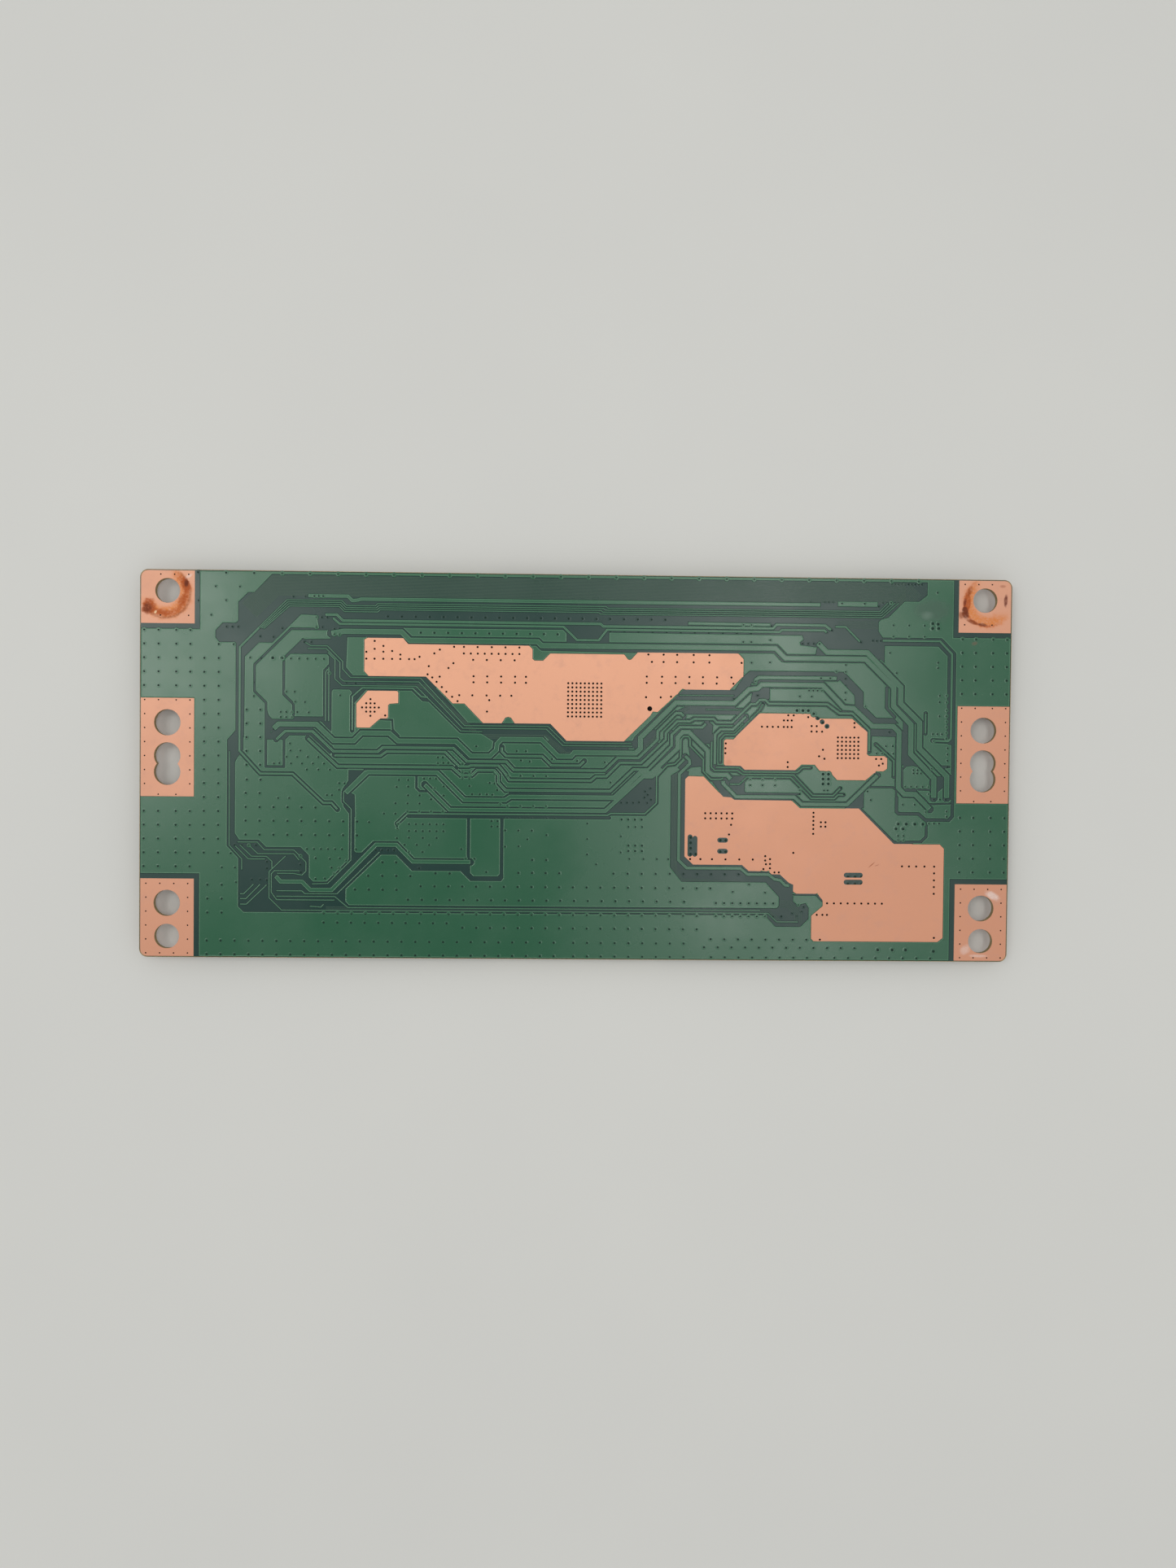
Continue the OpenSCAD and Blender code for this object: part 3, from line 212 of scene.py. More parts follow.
# Each soft box is (name, place, width, length, turn, watts), in metres and degrees, and faces the board
SOFT_BOXES = [
    ("left_box", (-0.45, 0.14, 0.95), 0.34, 0.34, 40, 1.9),
    ("right_strip", (0.19, 0.08, 0.95), 0.18, 0.6, 3, 2.0),
]


def add_soft_box(name, place, width, length, turn, watts):
    """Rectangular lamp that faces the origin."""
    data = bpy.data.lights.new(name, "AREA")
    data.shape = "RECTANGLE"
    data.size = width
    data.size_y = length
    data.energy = watts
    data.color = LAMP_COLOUR
    lamp = bpy.data.objects.new(name, data)
    away = Vector(place).normalized()
    across = (Vector((1, 0, 0)) - away * away.x).normalized()
    facing = Matrix((across, away.cross(across), away)).transposed().to_4x4()
    spin = Matrix.Rotation(math.radians(turn), 4, "Z")
    lamp.matrix_world = Matrix.Translation(place) @ facing @ spin
    bpy.context.scene.collection.objects.link(lamp)


def add_light():
    """World that lights the board, with the table's colour where a camera, glossy or clear ray meets it."""
    world = bpy.data.worlds.new("studio")
    bpy.context.scene.world = world
    world.use_nodes = True
    sky = Graph(world.node_tree)
    direction = sky.node("TexCoord", {}).outputs["Generated"]
    height = sky.node("SeparateXYZ", {0: direction}).outputs["Z"]
    dim = sky.fade(height, DIM_START, DIM_END, 1, OVERHEAD_SHARE)
    rays = sky.node("LightPath", {}).outputs
    seen = rays["Is Camera Ray"]
    for name in ("Is Glossy Ray", "Is Transmission Ray"):
        seen = sky.math("MAXIMUM", seen, rays[name])
    light = sky.tree.nodes["Background"]
    sky.feed(light.inputs["Color"], WORLD_COLOUR)
    sky.feed(light.inputs["Strength"], dim)
    backdrop = sky.node("Background", {"Color": FLOOR_COLOUR, "Strength": dim})
    choose = sky.node("MixShader", {0: seen, 1: light.outputs[0], 2: backdrop.outputs[0]})
    sky.feed(sky.tree.nodes["World Output"].inputs["Surface"], choose.outputs[0])
    for box in SOFT_BOXES:
        add_soft_box(*box)
    bpy.context.scene.view_settings.view_transform = "Standard"


add_camera()
add_floor()
add_light()


# Board layers
MASK_DARK = srgb(20, 52, 47)
MASK_PALE = srgb(27, 59, 53)
COATED_DEEP = srgb(39, 86, 62)
COATED_PALE = srgb(47, 95, 69)
BARE_COPPER = srgb(215, 158, 129)
POUR_COPPER = srgb(232, 171, 138)
BARE_WARM = srgb(193, 134, 105)


class StainedFinish(Finish):
    """A ground of colour and roughness, with the stains and the painted glint that are laid on it."""

    def ground(self, colour, rough):
        """Clean surface, and the two patterns that break up the stains."""
        self.colour = colour
        self.rough = rough
        self.ragged = self.noise(0.9, detail=5, rough=0.65)
        self.streaky = self.noise(0.35, detail=4, rough=0.6)

    def slant(self, lean):
        """Coordinate that grows towards the top and, by the lean, towards the left; the painted reflections
        grow along it.
        """
        return self.math("SUBTRACT", self.axis("Y"), self.math("MULTIPLY", self.axis("X"), lean))

    def lay(self, share, colour):
        """Lays a colour over the ground, by a share from 0 to 1."""
        self.colour = self.mix(share, self.colour, colour)

    def blot(self, place, size, colour, turn=0, soft=0.5, ragged=1.1, strength=0.9):
        """Stain over an ellipse with a ragged edge; one blot lays a painted glint instead."""
        away = self.distance(place, turn, size, self.ragged, ragged)
        share = self.fade(away, 1 + soft, 1 - soft, 0, strength)
        self.lay(self.math("MULTIPLY", share, self.fade(self.streaky, 0.2, 0.6, 0.55, 1)), colour)
        self.rough = self.math("ADD", self.rough, self.math("MULTIPLY", share, 0.12))

    def arc(self, middle, radius, width, clear_of, reach, colour, strength=0.9):
        """Stain along a ring round a place, kept clear of another place."""
        away = self.distance(middle, warp=self.ragged, warp_by=width)
        off = self.math("ABSOLUTE", self.math("SUBTRACT", away, radius))
        ring = self.fade(off, width, width * 0.25, 0, strength)
        part = self.fade(self.distance(clear_of), reach, reach + 2.2)
        share = self.math("MULTIPLY", ring, part)
        self.lay(self.math("MULTIPLY", share, self.fade(self.streaky, 0.25, 0.65, 0.35, 1)), colour)

    def done(self, **settings):
        """Gives the shader the ground with its stains."""
        return self.set(Base_Color=self.colour, Roughness=self.rough, **settings)


def mask_finish(name, deep, pale, gloss, shine=0.5, worn=False):
    """Glossy green coat, a little paler towards the left and the top as a painted reflection of the lamps,
    with fine orange peel.
    """
    finish = StainedFinish(name)
    # Painted reflection: the coat is mixed towards its pale colour at the top left, where the lamps reflect.
    painted_reflection = finish.fade(finish.slant(0.35), -45, 60)
    clouds = finish.noise(14, detail=4)
    drift = finish.math("MULTIPLY", finish.math("SUBTRACT", clouds, 0.5), 0.35)
    share = finish.math("ADD", painted_reflection, drift, clamp=True)
    speckle = finish.noise(0.35, detail=2)
    finish.ground(finish.mix(share, deep, pale), finish.fade(clouds, 0.3, 0.7, gloss, gloss + 0.08))
    finish.lay(finish.fade(speckle, 0.35, 0.75, 0, 0.12), pale)
    if worn:
        lay_coat_marks(finish)
    finish.bump(finish.noise(0.8, detail=2), 0.004, 0.35)
    return finish.done(IOR=1.5, Specular_IOR_Level=shine)


def lay_coat_marks(finish):
    """Flux residue, a smudge and a burn mark near the upper right corner, and a scratch at the upper edge."""
    finish.blot((65.2, 29.6), (3.2, 1.9), srgb(30, 66, 50), strength=0.55)
    finish.blot((64.2, 28.7), (0.9, 0.6), srgb(150, 172, 158), soft=0.8, strength=0.16)
    finish.blot((73.1, 23.6), (0.5, 0.3), srgb(92, 72, 48), turn=20, strength=0.6)
    finish.blot((2.95, 33.8), (0.4, 0.07), srgb(196, 210, 202), turn=40, soft=0.4, ragged=0.4, strength=0.7)


def laminate_finish():
    """Glass cloth and resin, seen at the sawn edge and in the holes."""
    finish = Finish("glass_laminate")
    layers = finish.noise(0.22, detail=2, stretch=(0.05, 0.05, 1))
    fibres = finish.noise(0.12, detail=3)
    colour = finish.mix(layers, srgb(150, 128, 84), srgb(116, 98, 62))
    colour = finish.mix(finish.fade(fibres, 0.45, 0.8), colour, srgb(182, 166, 122))
    finish.set(Base_Color=colour, Roughness=0.62)
    return finish.bump(fibres, 0.02, 0.5)


class CopperFinish(StainedFinish):
    """Bare copper with an even satin skin, random clouds of colour, and a painted reflection that makes it
    paler towards the top left.
    """

    def __init__(self, name, pale=BARE_COPPER):
        super().__init__(name)
        clouds = self.noise(9, detail=4)
        # Painted reflection: paler towards the top left, added to the random clouds.
        painted_copper_reflection = self.math("MULTIPLY", self.fade(self.slant(0.3), -40, 40), 0.7)
        share = self.math("ADD", painted_copper_reflection, self.math("MULTIPLY", clouds, 0.4), clamp=True)
        self.ground(self.mix(share, BARE_WARM, pale), self.fade(clouds, 0.3, 0.7, 0.42, 0.52))
        grain = self.noise(0.12, detail=2)
        self.lay(self.fade(grain, 0.3, 0.8, 0, 0.14), srgb(196, 126, 98))
        mottle = self.noise(2.4, detail=6, rough=0.7)
        self.lay(self.fade(mottle, 0.48, 0.75, 0, 0.3), srgb(186, 138, 120))
        self.bump(self.noise(0.1, detail=2), 0.003, 0.4)

    def done(self):
        return super().done(Metallic=0.25)


# Stains of flux, rust and handling. The flux rings have their middles a little outside the upper holes' own.
AMBER = srgb(166, 72, 0)
DARK_AMBER = srgb(96, 32, 0)
HALO = srgb(202, 116, 42)
BROWN = srgb(132, 56, 0)
RUST = srgb(98, 28, 6)
CHALK = srgb(232, 226, 222)
PAINTED_GLINT = srgb(246, 220, 176)
RING_X = 75.4
RING_Y = 31.1


def stained_left():
    """Flux ring round the upper left hole, heaviest at its right and at its lower left, with a painted glint
    at its lower left.
    """
    finish = CopperFinish("stained_copper_left")
    ring = (-RING_X, RING_Y)
    finish.arc(ring, 3.6, 1.7, (-78.6, 34.4), 3.6, HALO, 0.95)
    finish.arc(ring, 3.8, 0.8, (-78.6, 34.2), 4.2, AMBER, 0.8)
    finish.arc(ring, 4.5, 0.35, (-78.6, 34.2), 4.6, DARK_AMBER, 0.45)
    finish.blot((-71.7, 32.6), (0.75, 1.3), AMBER, turn=14, soft=0.25)
    finish.blot((-71.6, 32.9), (0.4, 0.7), DARK_AMBER)
    finish.blot((-72.3, 29.9), (0.7, 1.2), AMBER, turn=-30, soft=0.4, strength=0.7)
    finish.blot((-78.4, 28.7), (1.2, 1.5), AMBER, turn=-8, soft=0.22)
    finish.blot((-78.6, 28.3), (0.8, 0.9), DARK_AMBER, strength=0.75)
    finish.blot((-76.1, 27.6), (1.7, 0.55), AMBER, turn=-6, strength=0.7)
    # Painted glint: a small pale highlight on the glossy flux.
    finish.blot((-77.2, 27.6), (0.3, 0.2), PAINTED_GLINT, turn=60, soft=0.4, strength=0.8)
    finish.blot((-71.2, 34.2), (0.6, 0.3), CHALK, turn=35, strength=0.35)
    return finish.done()


def stained_right():
    """Brown streak left of the upper right hole, with a thin crescent below it."""
    finish = CopperFinish("stained_copper_right")
    ring = (RING_X, RING_Y)
    finish.arc(ring, 3.5, 1.6, (78.9, 34.2), 4.4, HALO, 0.9)
    finish.arc(ring, 4.3, 0.35, (78.9, 33.2), 5.4, AMBER, 0.8)
    finish.blot((71.6, 30.9), (0.6, 2.2), AMBER, turn=-8, soft=0.25)
    finish.blot((71.3, 29.2), (0.6, 1.1), DARK_AMBER, turn=8, soft=0.25)
    finish.blot((71.2, 31.2), (0.3, 0.7), RUST, turn=-10, soft=0.3, strength=0.7)
    finish.blot((72.1, 33.2), (0.4, 0.9), BROWN, turn=-16, strength=0.6)
    finish.blot((70.6, 28.8), (0.5, 0.6), BROWN, strength=0.7)
    finish.blot((72.6, 27.6), (1.2, 0.35), BROWN, turn=-22, soft=0.35)
    finish.blot((74.5, 27.1), (0.9, 0.28), DARK_AMBER, turn=-8, soft=0.35, strength=0.8)
    finish.blot((78.8, 31.5), (0.34, 1.1), RUST, turn=-4, soft=0.35)
    finish.blot((78.2, 34.2), (0.5, 0.25), BROWN, strength=0.4)
    return finish.done()


def smeared():
    """Pale smears beside the lower right holes."""
    finish = CopperFinish("smeared_copper")
    finish.blot((77.2, -23.1), (1.3, 0.6), CHALK, turn=-28, strength=0.5)
    finish.blot((72.2, -33.2), (0.9, 0.7), CHALK, turn=45, strength=0.3)
    finish.blot((74.6, -34.3), (1.5, 0.25), CHALK, strength=0.3)
    return finish.done()


def scratched():
    """Two short scratches and a faint thumb smudge on the large pours."""
    finish = CopperFinish("scratched_copper", POUR_COPPER)
    finish.blot((54.55, -17.5), (0.75, 0.07), BROWN, turn=41, soft=0.4, ragged=0.5, strength=0.8)
    finish.blot((55.5, -17.6), (0.4, 0.06), BROWN, turn=20, soft=0.4, ragged=0.5, strength=0.7)
    finish.blot((27.8, 1.2), (0.5, 0.5), srgb(198, 132, 104), strength=0.5)
    return finish.done()


PADS = (
    "upper_left_pad", "upper_right_pad", "middle_left_pad",
    "middle_right_pad", "lower_left_pad", "lower_right_pad",
)
POURS = ("timing_heat_pour", "power_heat_pour", "supply_heat_pour", "shifter_heat_pour")
mask = mask_finish("solder_mask", MASK_DARK, MASK_PALE, 0.26, shine=0.4)
coated = mask_finish("mask_over_copper", COATED_DEEP, COATED_PALE, 0.22, worn=True)
dress(laminate_finish(), "laminate")
dress(mask, "upper_mask")
dress(coated, "coated_pours", "coated_tracks", "lower_mask")
dress(CopperFinish("bare_copper").done(), "middle_left_pad", "middle_right_pad", "lower_left_pad")
dress(stained_left(), "upper_left_pad")
dress(stained_right(), "upper_right_pad")
dress(smeared(), "lower_right_pad")
dress(scratched(), *POURS)


# Pieces that the scene adds
class Shape:
    """Vertices and faces in millimetres, gathered into one piece of the scene."""

    def __init__(self):
        self.points = []
        self.faces = []

    def add(self, points, faces):
        """Adds a form whose faces count from its own first point."""
        first = len(self.points)
        self.points.extend(points)
        self.faces.extend([first + k for k in face] for face in faces)

    def skin(self, rows, around=False):
        """Quads between closed rows of points; the ends are joined to each other, or each is capped."""
        size = len(rows[0])
        faces = []
        for row in range(len(rows) - (0 if around else 1)):
            here = row * size
            there = (row + 1) % len(rows) * size
            for k in range(size):
                after = (k + 1) % size
                faces.append([here + k, here + after, there + after, there + k])
        if not around:
            last = (len(rows) - 1) * size
            faces.append([last + k for k in range(size)])
            faces.append(list(reversed(range(size))))
        self.add([point for row in rows for point in row], faces)

    def turned(self, place, profile, sides=14):
        """Round form: profile is (radius, height) pairs from the rim to the middle, closed underneath."""
        x, y, z = place
        angles = [2 * math.pi * k / sides for k in range(sides)]
        self.skin([[(x + r * math.cos(a), y + r * math.sin(a), z + h) for a in angles] for r, h in profile])

    def ribbon(self, path, width, base, height, slope=0.3):
        """Thin raised strip along a path of flat points, with sloping sides."""
        section = ((-0.5, 0), (slope - 0.5, height), (0.5 - slope, height), (0.5, 0))
        rows = []
        for (x, y), (dx, dy) in zip(path, strip_sides(path)):
            rows.append([
                (x + dx * width * across, y + dy * width * across, base + up) for across, up in section
            ])
        self.skin(rows)

    def piece(self, name, slot, finish, smooth=False):
        """Makes the scene object, which rides on the board."""
        mesh = bpy.data.meshes.new(name)
        mesh.from_pydata([Vector(p) * MM for p in self.points], [], self.faces)
        mesh.validate()
        face_outwards(mesh)
        mesh.materials.append(finish.material)
        mesh.polygons.foreach_set("use_smooth", [smooth] * len(mesh.polygons))
        piece = bpy.data.objects.new(name, mesh)
        bpy.context.scene.collection.objects.link(piece)
        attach(piece, "root")
        return piece


def face_outwards(mesh):
    """Turns all faces of closed forms outwards."""
    shell = bmesh.new()
    shell.from_mesh(mesh)
    bmesh.ops.recalc_face_normals(shell, faces=shell.faces)
    shell.to_mesh(mesh)
    shell.free()


SHORTEST_STEP = 1e-6


def left_normals(points, following):
    """Unit vectors to the left of each step from a point to the one that follows."""
    normals = []
    for (x0, y0), (x1, y1) in zip(points, following):
        length = max(math.hypot(x1 - x0, y1 - y0), SHORTEST_STEP)
        normals.append((-(y1 - y0) / length, (x1 - x0) / length))
    return normals


def strip_sides(path):
    """Sideways directions at each point of a path, longer at the bends so that a strip keeps its width."""
    normals = left_normals(path, path[1:])
    bends = [mitre(before, after) for before, after in zip(normals, normals[1:])]
    return [normals[0], *bends, normals[-1]]


# Least value of 1 + cosine at a bend, so that a sharp one grows no long spike
MITRE_LIMIT = 0.35


def mitre(before, after):
    """Direction between two unit normals, long enough to reach both offset lines."""
    dot = before[0] * after[0] + before[1] * after[1]
    share = 1 / max(1 + dot, MITRE_LIMIT)
    return ((before[0] + after[0]) * share, (before[1] + after[1]) * share)


# An upper face points up and lies level with the top, in metres; points are sorted in whole micrometres
FACING_UP = 0.9
LEVEL = 2e-6
MICROMETRES = 1e6


def upper_loops(name):
    """Closed outlines of a node's upper faces, as flat points in millimetres, with the face to their left."""
    mesh = nodes[name].data
    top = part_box(name)[1].z
    counts = {}
    spots = {}
    for face in mesh.polygons:
        if face.normal.z < FACING_UP or abs(face.center.z - top) > LEVEL:
            continue
        keys = [spot_key(spots, mesh.vertices[index].co) for index in face.vertices]
        for edge in zip(keys, keys[1:] + keys[:1]):
            counts[edge] = counts.get(edge, 0) + 1
    rim = {(a, b) for (a, b), count in counts.items() if a != b and count > counts.get((b, a), 0)}
    following = {}
    for first, second in sorted(rim):
        following.setdefault(first, []).append(second)
    loops = []
    for start in sorted(following):
        while following[start]:
            loop = [start]
            step = following[start].pop()
            while step != start and following.get(step):
                loop.append(step)
                step = following[step].pop()
            if step == start:
                loops.append([spots[key] for key in loop])
    return loops


def spot_key(spots, point):
    """Key of a point in a table of places, shared by points that lie within about a micrometre."""
    x = round(point.x * MICROMETRES)
    y = round(point.y * MICROMETRES)
    for near in ((x + dx, y + dy) for dx in (0, -1, 1) for dy in (0, -1, 1)):
        if near in spots:
            return near
    spots[(x, y)] = (point.x / MM, point.y / MM)
    return (x, y)


def loop_circle(loop):
    """Middle and mean radius of a loop."""
    x = sum(p[0] for p in loop) / len(loop)
    y = sum(p[1] for p in loop) / len(loop)
    radius = sum(math.hypot(p[0] - x, p[1] - y) for p in loop) / len(loop)
    return x, y, radius


# Beside every coated copper edge the coat slopes down, darker than the open coat, and on the edge itself it
# thins to a pale bead. The darkness is partly the laminate under the coat and partly painted shade.
SLOPE_WIDTH = 0.08
SLOPE_LAP = 0.05
BEAD_WIDTH = 0.11
BEAD_HEIGHT = 0.012
SLOPE_SECTION = [
    (-SLOPE_LAP, COPPER_TOP + 0.004),
    (SLOPE_WIDTH, MASK_TOP + 0.002),
    (SLOPE_WIDTH, MASK_TOP),
    (-SLOPE_LAP, MASK_TOP),
]
BEAD_SECTION = [
    (-SLOPE_LAP - BEAD_WIDTH, COPPER_TOP),
    (-SLOPE_LAP - BEAD_WIDTH / 2, COPPER_TOP + BEAD_HEIGHT),
    (-SLOPE_LAP, COPPER_TOP),
]


def loop_sides(loop):
    """Outward directions at each point of a loop."""
    normals = left_normals(loop[-1:] + loop[:-1], loop)
    bends = [mitre(before, after) for before, after in zip(normals, normals[1:] + normals[:1])]
    return [(-x, -y) for x, y in bends]


def add_along(shape, loop, section):
    """Closed strip round a loop, with a section of (outward, height) pairs."""
    rows = []
    for (x, y), (dx, dy) in zip(loop, loop_sides(loop)):
        rows.append([(x + dx * out, y + dy * out, height) for out, height in section])
    shape.skin(rows, around=True)


def add_edges(name, node, slope, bead):
    """Slopes and beads round all upper faces of a coated node."""
    slopes = Shape()
    beads = Shape()
    for loop in upper_loops(node):
        if len(loop) > 2:
            add_along(slopes, loop, SLOPE_SECTION)
            add_along(beads, loop, BEAD_SECTION)
    slopes.piece(name + "_slopes", "solder_mask", slope)
    beads.piece(name + "_beads", "coated_copper", bead)


# Partly painted shade: the slopes and gaps are darker than the open coat, by the dark laminate under it and
# by shade along the copper edges.
gap_coat_and_shade = mask_finish("coat_in_gaps_and_painted_shade", srgb(14, 38, 36), srgb(20, 46, 44), 0.45, shine=0.25)
edge_coat = mask_finish("coat_on_edges", srgb(64, 110, 82), srgb(76, 120, 92), 0.26)
add_edges("pour", "coated_pours", gap_coat_and_shade, edge_coat)
add_edges("track", "coated_tracks", gap_coat_and_shade, edge_coat)


# Tented vias: low bumps in the coat, each with a dark dot that is painted shade of the hole under the tent.
# Rows are (y, first x, step, count), columns are (each x, first y, step, count), and the rest are single
# places as y: [each x].
VIA_ROWS = [
    (34.9, -69.5, 5.08, 27), (-34.85, -67.7, 2.54, 26), (-34.85, -0.6, 2.55, 9),
    (-34.85, 24.9, 2.55, 17), (-32.35, -67.7, 2.54, 26), (-33.0, 23.6, 2.54, 12),
    (-31.5, 24.8, 2.54, 8), (-29.7, -21.0, 2.54, 18), (-28.9, -46.4, 2.5, 10), (-27.2, -46.4, 2.54, 28),
    (-27.2, 25.7, 1.52, 9), (-24.6, -31.0, 2.54, 21), (-24.8, 25.7, 1.52, 8), (-22.1, -28.7, 2.54, 22),
    (-19.5, -10.8, 2.5, 4), (-19.5, 6.7, 2.6, 4), (-5.25, -60.7, 2.54, 2), (-7.8, -60.7, 2.54, 6),
    (-10.3, -60.7, 2.54, 9), (-12.85, -60.7, 2.54, 9), (-14.3, 9.4, 1.25, 3), (-15.3, 9.4, 1.25, 3),
    (-9.5, 8.1, 1.23, 4), (24.4, -29.0, 2.5, 11), (25.0, 5.7, 2.59, 11), (27.3, -35.0, 2.54, 21),
    (-2.8, -60.5, 2.5, 2), (-20.25, -38.3, 2.57, 4), (-22.8, -40.7, 2.53, 4), (-19.7, -26.0, 2.6, 2),
    (-17.1, -8.3, 2.6, 2), (-17.75, -35.7, 2.5, 2), (-32.35, -0.6, 2.55, 9), (-19.45, 17.1, 2.55, 6),
    (21.9, -65.7, 2.7, 2),
]
EDGE_COLUMNS = [-79.2, -76.6, -73.4, -70.85, 70.9, 73.4, 76.6, 79.2]
VIA_COLUMNS = [
    (EDGE_COLUMNS, 24.4, -2.53, 5),
    (EDGE_COLUMNS, -8.65, -2.53, 5),
    ([-68.3, -65.7], 19.35, -2.54, 15),
    ([-60.6, -58.1], 10.0, -2.52, 5),
    ([-67.6, -65.0], -22.1, -2.55, 3),
]
SMALL_ROWS = [
    (30.9, 45.2, 0.75, 3), (30.9, 56.0, 0.75, 4), (26.8, 58.0, 2.9, 3), (24.7, 58.0, 2.9, 3),
    (26.5, 30.2, 1.5, 2), (23.4, 30.2, 1.5, 2), (23.2, 41.2, 1.03, 4), (23.9, 54.2, 0.75, 3),
    (14.6, 42.5, 0.78, 4), (13.5, 40.8, 2.2, 2), (13.9, 66.8, 1.25, 2), (12.7, 66.8, 1.25, 2),
    (10.1, 66.8, 1.25, 2), (6.8, 65.6, 0.85, 3), (3.1, 55.2, 1.03, 4), (0.1, 62.1, 0.75, 3),
    (-0.5, 62.1, 0.7, 3), (-1.9, 31.8, 2.3, 3), (-2.95, 31.8, 2.3, 3), (-3.0, 60.6, 1.08, 5),
    (-3.8, 45.5, 0.65, 2), (-4.4, 45.5, 0.65, 2), (-5.3, 66.0, 1.1, 3), (-9.75, 65.1, 0.95, 3),
    (-12.1, 59.4, 1.0, 2), (-12.9, 59.4, 1.0, 2), (30.85, -48.4, 0.8, 3), (25.1, -64.3, 1.05, 3),
    (27.0, -48.0, 1.0, 3), (25.2, -48.0, 1.1, 2), (24.9, -44.7, 0.9, 2), (23.9, -44.7, 0.9, 2),
    (19.4, -52.6, 1.5, 5), (22.45, -50.2, 1.3, 2), (13.35, -53.4, 1.5, 2), (11.5, -51.8, 1.8, 2),
    (34.35, 57.6, 0.62, 10), (0.25, -52.5, 2.0, 4), (-0.85, -49.6, 2.1, 3), (-1.65, -12.9, 2.35, 4),
    (-7.2, -12.9, 2.35, 4), (-11.7, -13.3, 2.45, 3), (-2.3, -28.2, 1.1, 3), (-6.9, -33.4, 2.2, 3),
    (-5.4, -31.1, 2.1, 2), (-10.0, -15.8, 1.1, 2), (-11.0, -15.8, 1.1, 2), (-14.5, -31.7, 2.25, 3),
    (-15.8, -30.9, 2.5, 2), (-10.7, -30.9, 1.26, 6), (-11.95, -30.9, 1.26, 6), (-13.2, -30.9, 2.53, 3),
    (-15.4, -49.5, 1.28, 8), (-15.55, -36.9, 1.1, 4), (-14.8, -62.7, 1.3, 4), (-8.3, -31.2, 2.15, 4),
    (9.65, -54.4, 1.0, 4), (8.7, -54.4, 1.0, 3), (2.6, -52.6, 1.8, 2), (1.45, -53.3, 1.93, 4),
    (1.5, -44.3, 1.7, 2), (-10.85, 9.4, 1.25, 3),
]
SMALL_COLUMNS = [
    ([49.25], 19.4, -1.28, 6), ([68.1], 11.2, -1.04, 6), ([68.4], 4.2, -1.15, 4),
    ([66.4], 20.0, -1.0, 2), ([68.4], -7.5, -1.0, 2), ([41.0], -3.8, -0.7, 2), ([1.8], -10.3, -2.85, 3),
    ([8.0], -12.6, -3.0, 2),
]
VIA_SINGLES = {
    32.9: [66.1], 32.4: [-66.3, -61.9], 30.9: [42.6], 30.8: [-50.0], 30.7: [-52.2, 48.4, 52.6],
    30.2: [55.2], 29.9: [-64.4], 29.8: [-69.4], 27.2: [-67.1], 26.4: [35.4], 25.7: [46.6], 25.3: [45.6],
    25.2: [-57.3], 24.9: [-54.2], 23.8: [35.2], 23.6: [52.0], 23.4: [-58.2], 23.3: [-55.8], 21.7: [57.4],
    19.7: [35.2], 19.6: [31.8], 19.5: [-60.0], 19.4: [-58.0], 18.2: [47.5], 18.0: [58.7],
    16.9: [44.7, 46.4], 16.8: [-45.6], 16.2: [32.6], 15.2: [-42.5], 15.0: [-59.3, -40.8], 13.6: [33.0],
    12.9: [28.6], 12.8: [-43.6], 12.5: [-59.3], 12.2: [34.0], 11.8: [53.0], 10.6: [64.4], 9.6: [-49.3],
    7.1: [57.5], 6.5: [-55.7], 5.5: [65.8], 4.5: [56.9, 58.2], 3.9: [-52.7], 3.7: [-18.7],
    2.9: [-11.3, -9.6], 1.6: [-25.7, -24.8], 1.5: [-4.8], 1.2: [-10.5, -0.2], 1.0: [-8.9, 4.9],
    0.6: [-24.7, -23.8], 0.5: [-25.7, -21.2], 0.4: [65.5], 0.3: [-54.6, 43.2], 0.2: [-55.6],
    -1.0: [-21.2, -19.9], -1.4: [-15.4], -2.2: [-21.2, -19.9], -2.6: [-32.8, -31.1], -2.7: [6.0],
    -3.0: [-16.2], -3.1: [-15.3], -3.3: [-43.7, -42.7, 48.7], -3.6: [-19.9], -3.7: [-24.6, 13.4],
    -3.8: [-31.1], -3.9: [-33.2, 53.6], -4.1: [-26.3], -4.3: [-14.8, 12.4, 65.0], -4.5: [-43.7, 49.3],
    -4.9: [12.9], -5.1: [-19.4, -18.0, -16.7], -5.2: [-15.7], -5.4: [-24.6, 12.3],
    -5.5: [-45.9, -45.0, -14.1, 54.2], -5.8: [13.5], -6.1: [-54.8, -52.8, -26.9],
    -6.3: [11.3, 60.2, 62.4], -6.4: [8.0, 9.1, 10.2, 12.8], -6.9: [-14.2], -7.6: [64.5],
    -8.8: [-35.5, -33.4], -9.5: [-12.9, -10.8, -8.5, -5.7, -4.2], -10.4: [-38.2], -10.6: [-32.9],
    -11.6: [-33.0], -12.5: [-5.7], -13.3: [-33.1, -9.2], -14.6: [-10.8], -14.7: [-13.3], -15.2: [-21.3],
    -16.3: [-63.4], -16.7: [-50.7], -16.75: [9.6, 12.2, 14.7, 16.8], -16.9: [-20.5], -17.0: [-18.9],
    -17.1: [-47.9, -43.5, -23.4], -17.2: [-45.3], -17.5: [-42.3], -17.8: [-56.8, 3.5], -18.3: [-50.7],
    -18.8: [-45.0, -29.0], -18.9: [-65.0, -62.6, -43.6], -19.0: [-56.8], -19.4: [-16.7], -19.7: [-50.6],
    -19.9: [-44.5], -20.8: [-46.2], -20.9: [-47.9], -21.1: [-59.5, -58.0], -21.2: [-56.8], -21.3: [31.8],
    -21.6: [-62.4], -22.7: [28.8], -22.8: [34.8], -25.0: [41.0], -25.4: [42.0], -26.3: [41.6],
    -26.6: [39.9], -27.1: [40.7],
}
